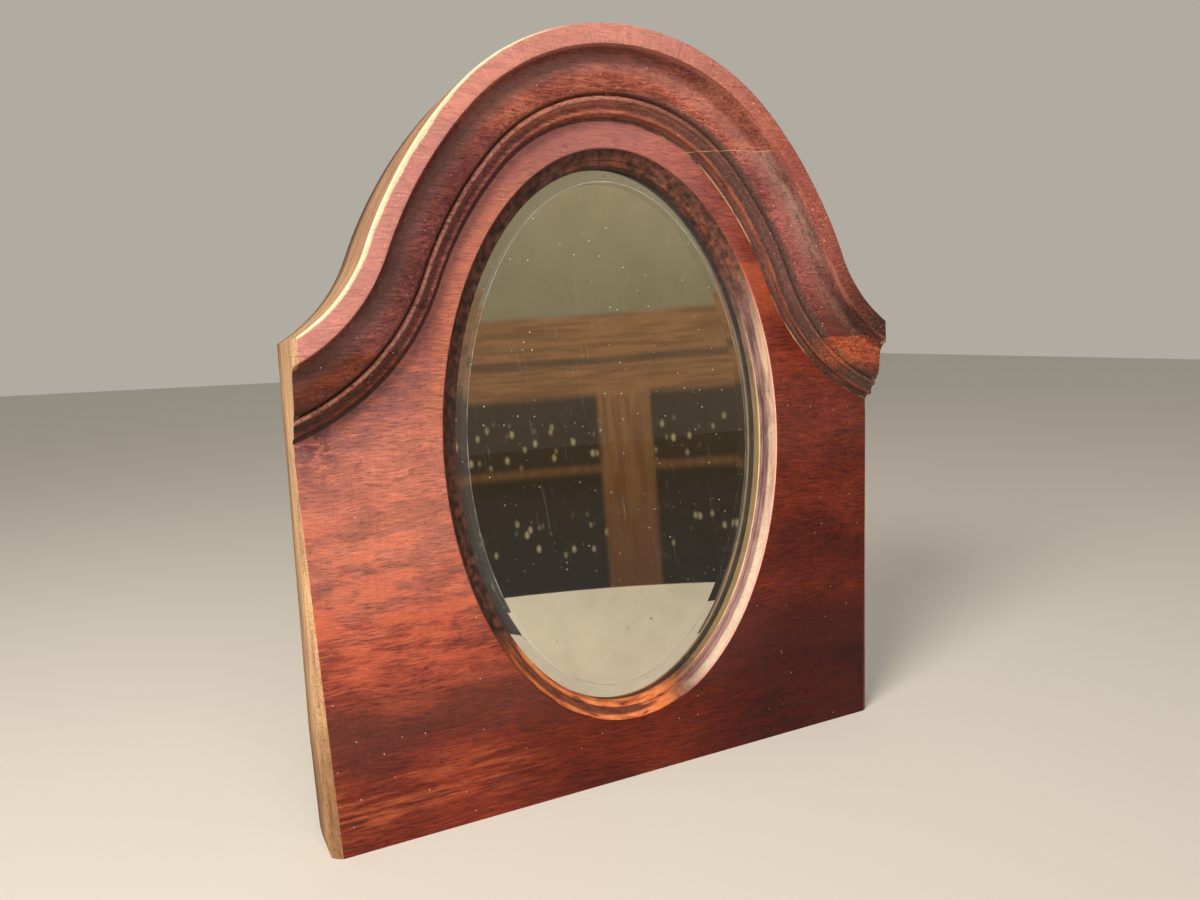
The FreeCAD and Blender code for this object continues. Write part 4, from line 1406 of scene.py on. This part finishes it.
def screws(outline, floor, places):
    """One mesh that holds the same slotted screw at each place, every one turned its own way."""
    mesh = bmesh.new()
    for number, place in enumerate(places):
        screw = bmesh.new()
        turned(screw, outline)
        slotted(screw, 0.42, floor)
        move(screw, set_at(place, 0.7 + 1.9 * number, "Y"))
        add_to(mesh, screw)
    return mesh


round_heads = screws(ROUND_HEAD, 2.9, [place for place, _ in button_places])
brass_piece("round_screws", round_heads, "turn_button_screws")

# %% [markdown]
# ## The bracket and its pin
# The strut hangs from a small clevis: a plate with round corners, four countersunk screws, and
# two ears with a pin through them. The plate's front view is drawn flat, a rounded rectangle with
# round holes in it, and filled like the board. Each ear is a strip whose free end is spun round
# the pin.

# %% Draw the plate
bracket_low, bracket_high = upright_box("strut_bracket")
PIN = Vector((0, THICKNESS + 7.5 * MM, (bracket_low.z + bracket_high.z) / 2))
PLATE_THICKNESS = 2 * MM
PLATE_HALF_WIDTH = 23 * MM
PLATE_HALF_HEIGHT = 14 * MM
SCREW_INSET = 5.5 * MM
plate_middle = Vector((0, THICKNESS, PIN.z))
screws_across, screws_up = PLATE_HALF_WIDTH - SCREW_INSET, PLATE_HALF_HEIGHT - SCREW_INSET
bracket_screw_places = [plate_middle + Vector((x * screws_across, PLATE_THICKNESS, z * screws_up))
                        for x in (1, -1) for z in (1, -1)]


def countersunk_hole(mesh, place):
    """The wall of a hole from the plate's outer face: a cone, then a straight bore."""
    edges = ring_edges(circle(mesh, 3.1 * MM, 32, Matrix.Translation(place) @ FACE_BACK))
    for ratio, step in ((1.75 / 3.1, 1.4), (1, 0.6)):
        edges = next_ring(mesh, edges, (ratio, 1, ratio), place, -step * MM)


def bracket_plate(mesh):
    """The screwed plate with its four holes."""
    across = Matrix.Diagonal((PLATE_HALF_WIDTH * 2, 1, PLATE_HALF_HEIGHT * 2, 1))
    flat = Matrix.Translation(plate_middle) @ across @ FACE_BACK
    grid = bmesh.ops.create_grid(mesh, x_segments=1, y_segments=1, size=0.5, matrix=flat)
    bmesh.ops.bevel(mesh, geom=grid["verts"], offset=2 * MM, segments=6, profile=0.5,
                    affect="VERTICES", material=-1)
    bmesh.ops.delete(mesh, geom=mesh.faces[:], context="FACES_ONLY")
    next_ring(mesh, mesh.edges[:], (1, 1, 1), plate_middle, PLATE_THICKNESS)
    for place in bracket_screw_places:
        countersunk_hole(mesh, place)
    fill_flat(mesh, THICKNESS)
    fill_flat(mesh, THICKNESS + PLATE_THICKNESS)
    turn_outwards(mesh)
    ease(mesh, sharp_edges(mesh, 60), 0.2 * MM, segments=1)


print("the pin lies at", [round(value, 4) for value in STAND @ PIN])

# %% Add the ears, the pin and the washers
EAR_INSIDE = 9.1 * MM
EAR_THICKNESS = 2 * MM
EAR_RADIUS = 4.5 * MM
BORE = 2.05 * MM
BORE_STEPS = 32


def bored_strip(mesh, x, foot):
    """A strip with a round end about the pin and a bore, drawn at one x and standing on a depth."""
    start = dot_at(mesh, x, foot, PIN.z - EAR_RADIUS)
    dot = line(mesh, start, x, PIN.y, PIN.z - EAR_RADIUS)
    spun = bmesh.ops.spin(mesh, geom=[dot], cent=(x, PIN.y, PIN.z), axis=ALONG_X, angle=math.pi,
                          steps=20)
    dot = only(BMVert, spun["geom_last"])[0]
    dot = line(mesh, dot, x, foot, PIN.z + EAR_RADIUS)
    close_line(mesh, dot, start)
    circle(mesh, BORE, BORE_STEPS, set_at((x, PIN.y, PIN.z), math.pi / 2, "Y"))
    drawn = [edge for edge in mesh.edges if not edge.link_faces]
    thicken(mesh, fill_between(mesh, drawn), EAR_THICKNESS, 0, 0)


bracket = bmesh.new()
bracket_plate(bracket)
for x in (EAR_INSIDE, -EAR_INSIDE - EAR_THICKNESS):
    ear = bmesh.new()
    bored_strip(ear, x, THICKNESS + PLATE_THICKNESS - 0.3 * MM)
    turn_outwards(ear)
    ease(ear, sharp_edges(ear, 60), 0.25 * MM)
    add_to(bracket, ear)
brass_piece("bracket", bracket, "strut_bracket")
brass_piece("flat_screws", screws(FLAT_HEAD, -0.6, bracket_screw_places), "bracket_screws")


ALONG_PIN = set_at(PIN, -math.pi / 2, "Z")
half_pin = [(2, 0), (2, 11.1), (3.1, 11.1), (3.2, 11.25), (3.15, 11.7), (2.8, 12.1), (2.0, 12.28),
            (0, 12.3)]
pin = bmesh.new()
turned(pin, [(radius, -height) for radius, height in reversed(half_pin)] + half_pin[1:])
move(pin, ALONG_PIN)
brass_piece("pin", pin, "pivot_pin")
washers = bmesh.new()
for start in (8.1, -9.1):
    washer = bmesh.new()
    section = [(2.05, 0.02), (3.65, 0.02), (3.8, 0.15), (3.8, 0.85), (3.65, 0.98), (2.05, 0.98),
               (2.05, 0.02)]
    turned(washer, [(radius, start + height) for radius, height in section])
    add_to(washers, washer)
move(washers, ALONG_PIN)
brass_piece("washers", washers, "pivot_washers")

# %% [markdown]
# ## The easel strut
# The leg is a tapered lath. Its side view is drawn first, as two halves that meet in the pin's
# bore, so that each of them is one plain outline, and both are pushed across to the leg's width.
# Then it is scored below the neck and the foot is spread. It is swung open about the pin, and two
# saw cuts bevel its head against the plate and its foot against the table.

# %% Model the strut
STRUT_HALF = 4 * MM
HEAD_HALF = 8 * MM
FOOT_HALF = 17 * MM
HEAD_RISE = 14 * MM
NECK = 24 * MM
STRUT_OPEN = LEAN + math.radians(8)
STOP = THICKNESS + PLATE_THICKNESS + SLIDING_GAP

half_turn = BORE_STEPS // 2
strut = bmesh.new()
for end, up in ((PIN.z + HEAD_RISE, 1), (-THICKNESS, -1)):
    drawn_before = len(strut.edges)
    first = dot = dot_at(strut, HEAD_HALF, PIN.y - BORE, PIN.z)
    for back, height in ((-STRUT_HALF, PIN.z), (-STRUT_HALF, end), (STRUT_HALF, end),
                         (STRUT_HALF, PIN.z), (BORE, PIN.z)):
        dot = line(strut, dot, HEAD_HALF, PIN.y + back, height)
    arc = bmesh.ops.spin(strut, geom=[dot], cent=(HEAD_HALF, PIN.y, PIN.z), axis=ALONG_X,
                         angle=up * math.pi * (1 - 1 / half_turn), steps=half_turn - 1)
    close_line(strut, only(BMVert, arc["geom_last"])[0], first)
    bmesh.ops.contextual_create(strut, geom=strut.edges[drawn_before:])
merge(strut)
thicken(strut, strut.faces[:], -2 * HEAD_HALF, 0, 0)
for height in (PIN.z - NECK, 0):
    score(strut, height)
for vertex in strut.verts:
    if vertex.co.z < MERGE * 10:
        vertex.co.x *= FOOT_HALF / HEAD_HALF
turn_outwards(strut)
for side in (1, -1):
    saw(strut, (side * HEAD_HALF, 0, PIN.z + HEAD_RISE - 3 * MM), (side, 0, 1))
bmesh.ops.rotate(strut, cent=PIN, matrix=Matrix.Rotation(STRUT_OPEN, 3, "X"), verts=strut.verts[:])
saw(strut, (0, STOP, 0), (0, -1, 0))
saw(strut, table_point, table_down)
ease(strut, sharp_edges(strut, 25), 0.8 * MM, segments=3)
finish_piece("mahogany_leg", strut, "strut", ["easel_strut"], leg_mahogany)

# %% [markdown]
# ## The stage: camera and floor
# The camera stands a little above the table, to the left of the mirror, and looks slightly down.
# Its place is fixed in metres, so that it keeps its view whatever the object does. The floor is a
# plain pale sheet. A faint glow that only the camera and the mirror see keeps its far end from
# turning grey, and it still takes the object's shadow.

# %% Camera
EYE = Vector((-0.2060, -0.3784, 0.2213))
TURNED, LOWERED, TIPPED = math.radians(-27.05), math.radians(7.88), math.radians(-1.555)
camera_data = bpy.data.cameras.new("camera")
camera_data.lens = 27
camera_data.sensor_width = 36
camera = add_object("camera", camera_data)
level_view = Matrix.Rotation(TURNED, 4, "Z") @ Matrix.Rotation(math.pi / 2 - LOWERED, 4, "X")
camera.matrix_world = Matrix.Translation(EYE) @ level_view @ Matrix.Rotation(TIPPED, 4, "Z")
bpy.context.scene.camera = camera
print("camera at", [round(value, 3) for value in EYE])


# %% Floor
def stage_object(name, mesh, material):
    """A part of the stage, which is no part of the object."""
    data = bpy.data.meshes.new(name)
    mesh.to_mesh(data)
    mesh.free()
    data.materials.append(material)
    thing = add_object(name, data)
    return thing


sheet, tree = material_tree("pale_sheet")
path = put("LightPath", {}, tree).outputs
seen = calc("MAXIMUM", path["Is Camera Ray"], path["Is Transmission Ray"])
finish_with(tree, Base_Color=(202, 196, 186), Roughness=0.85, Emission_Color=(0.9, 0.85, 0.76, 1),
            Emission_Strength=times(seen, 0.11))
floor_mesh = bmesh.new()
bmesh.ops.create_grid(floor_mesh, x_segments=8, y_segments=8, size=4)
floor = stage_object("floor", floor_mesh, sheet)
print("floor", [round(value, 1) for value in floor.dimensions])

# %% [markdown]
# ## The stage: lamps, mirror card and surroundings
# A large warm lamp at the left grazes the front, which brings out the hollow and the beads, and a
# weak one in front fills the shadows. A mirror looks like whatever stands before it. So a tall card
# stands round the object, painted with a plain cabinet with posts, a shelf and a cornice, and a
# pale wall above. It glows though it is no lamp, as a painted reflection: painted shade in the
# cabinet's bays and painted glints of glasses on its shelves. Only rays that come back out of the
# glass see it, and it gives no light to anything else. The world does the same for the background
# and the soft daylight.

# %% Lamps
def lamp(name, place, target, size, power, colour, spread):
    """An oval lamp that shines from a place towards a target."""
    light = bpy.data.lights.new(name, "AREA")
    light.shape = "ELLIPSE"
    light.size, light.size_y = size
    light.energy, light.color, light.spread = power, colour, math.radians(spread)
    holder = add_object(name, light)
    holder.location = place
    holder.rotation_euler = (Vector(target) - Vector(place)).to_track_quat("-Z", "Y").to_euler()
    holder.visible_transmission = False
    return holder


lamp("key", (-0.92, -0.52, 0.85), (-0.05, 0, 0.24), (0.6, 0.6), 8.3, (1, 0.94, 0.86), 110)
soft = lamp("fill", (-0.1, -1.7, 0.8), (0, 0, 0.2), (1.0, 0.8), 6, (1, 0.96, 0.92), 140)
soft.visible_glossy = False
print("lamps", len(bpy.data.lights))

# %% Card that the mirror sees
CARD_RADIUS = 0.455
POST_SPACING, FIRST_POST = 0.7, 0.52
SHELF_FOOT, SHELF_TOP = 0.118, 0.126
RAIL_FOOT, GROOVE_FOOT, GROOVE_TOP, CABINET_TOP = 0.190, 0.226, 0.234, 0.272
HALF_POST = 0.066
card_paint, tree = material_tree("card_paint")
spot = put("TexCoord", {}, tree).outputs["Object"]
x, y, z = axes_of(spot)
around = calc("ARCTAN2", x, times(y, -1))
from_post = calc("PINGPONG", calc("ADD", around, 10 * POST_SPACING - FIRST_POST), POST_SPACING / 2)
wood = mix(window(z, 0.0, 0.26), (96, 62, 36), (150, 110, 74))
shadow = mix(window(z, 0.0, 0.22), (30, 26, 22), (70, 58, 42))
wall = mix(window(z, 0.24, 0.5), (136, 128, 104), (180, 170, 142))
on_posts = window(z, 0.2, 0.19)
for scale, share in (((1, 1, 0.1), on_posts), ((0.1, 0.1, 1), calc("SUBTRACT", 1, on_posts))):
    grain = window(cloud(stretch(spot, scale), 0.006, 3), 0.4, 0.6)
    wood = coat(wood, times(grain, share), 0.35, (70, 42, 24))
# Painted glints: small bright spots for glasses on the cabinet's shelves.
painted_glints = put("TexVoronoi", {"Vector": stretch(spot, (100, 100, 60)), "Scale": 1.0})
painted_glints = window(painted_glints.outputs["Distance"], 0.34, 0.08)
rows = calc("MAXIMUM", band(z, 0.13, 0.17, 0.01), band(z, 0.035, 0.075, 0.01))
shadow = coat(shadow, times(painted_glints, rows), 0.6, (200, 186, 146))
tones = mix(window(from_post, HALF_POST, 0.05), shadow, wood)
tones = mix(times(band(z, SHELF_FOOT, SHELF_TOP, 0.004), 0.7), tones, wood)
tones = mix(window(z, RAIL_FOOT, 0.202), tones, wood)
tones = mix(times(band(z, GROOVE_FOOT, GROOVE_TOP, 0.003), 0.6), tones, shadow)
tones = mix(window(z, CABINET_TOP, 0.28), tones, wall)
glow = put("Emission", {"Color": tones, "Strength": 1.0}).outputs[0]
tree.links.new(glow, tree.nodes["Material Output"].inputs["Surface"])
card_mesh = bmesh.new()
line(card_mesh, dot_at(card_mesh, CARD_RADIUS, 0, 0.0005), CARD_RADIUS, 0, 2.0)
bmesh.ops.spin(card_mesh, geom=everything(card_mesh), cent=(0, 0, 0), axis=(0, 0, 1),
               angle=math.tau, steps=96, use_merge=True)
card = stage_object("mirror_card", card_mesh, card_paint)
card.visible_camera = card.visible_diffuse = card.visible_glossy = card.visible_shadow = False
print("card", [round(value, 1) for value in card.dimensions])

# %% World and view
world = bpy.data.worlds.new("studio")
bpy.context.scene.world = world
world.use_nodes = True
tree = world.node_tree
path = put("LightPath", {}, tree).outputs
seen = calc("MAXIMUM", path["Is Camera Ray"], path["Is Glossy Ray"])
seen = calc("MAXIMUM", seen, path["Is Transmission Ray"])
surroundings = tree.nodes["Background"]
surroundings.inputs["Color"].default_value = (0.44, 0.41, 0.36, 1)
tree.links.new(nudge(0.65, seen, 0.35), surroundings.inputs["Strength"])
bpy.context.scene.view_settings.view_transform = "Standard"
print("stage ready")


# %% [markdown]
# ## Finish
# The view layer is brought up to date with every piece in place.

# %% Finish
bpy.context.view_layer.update()
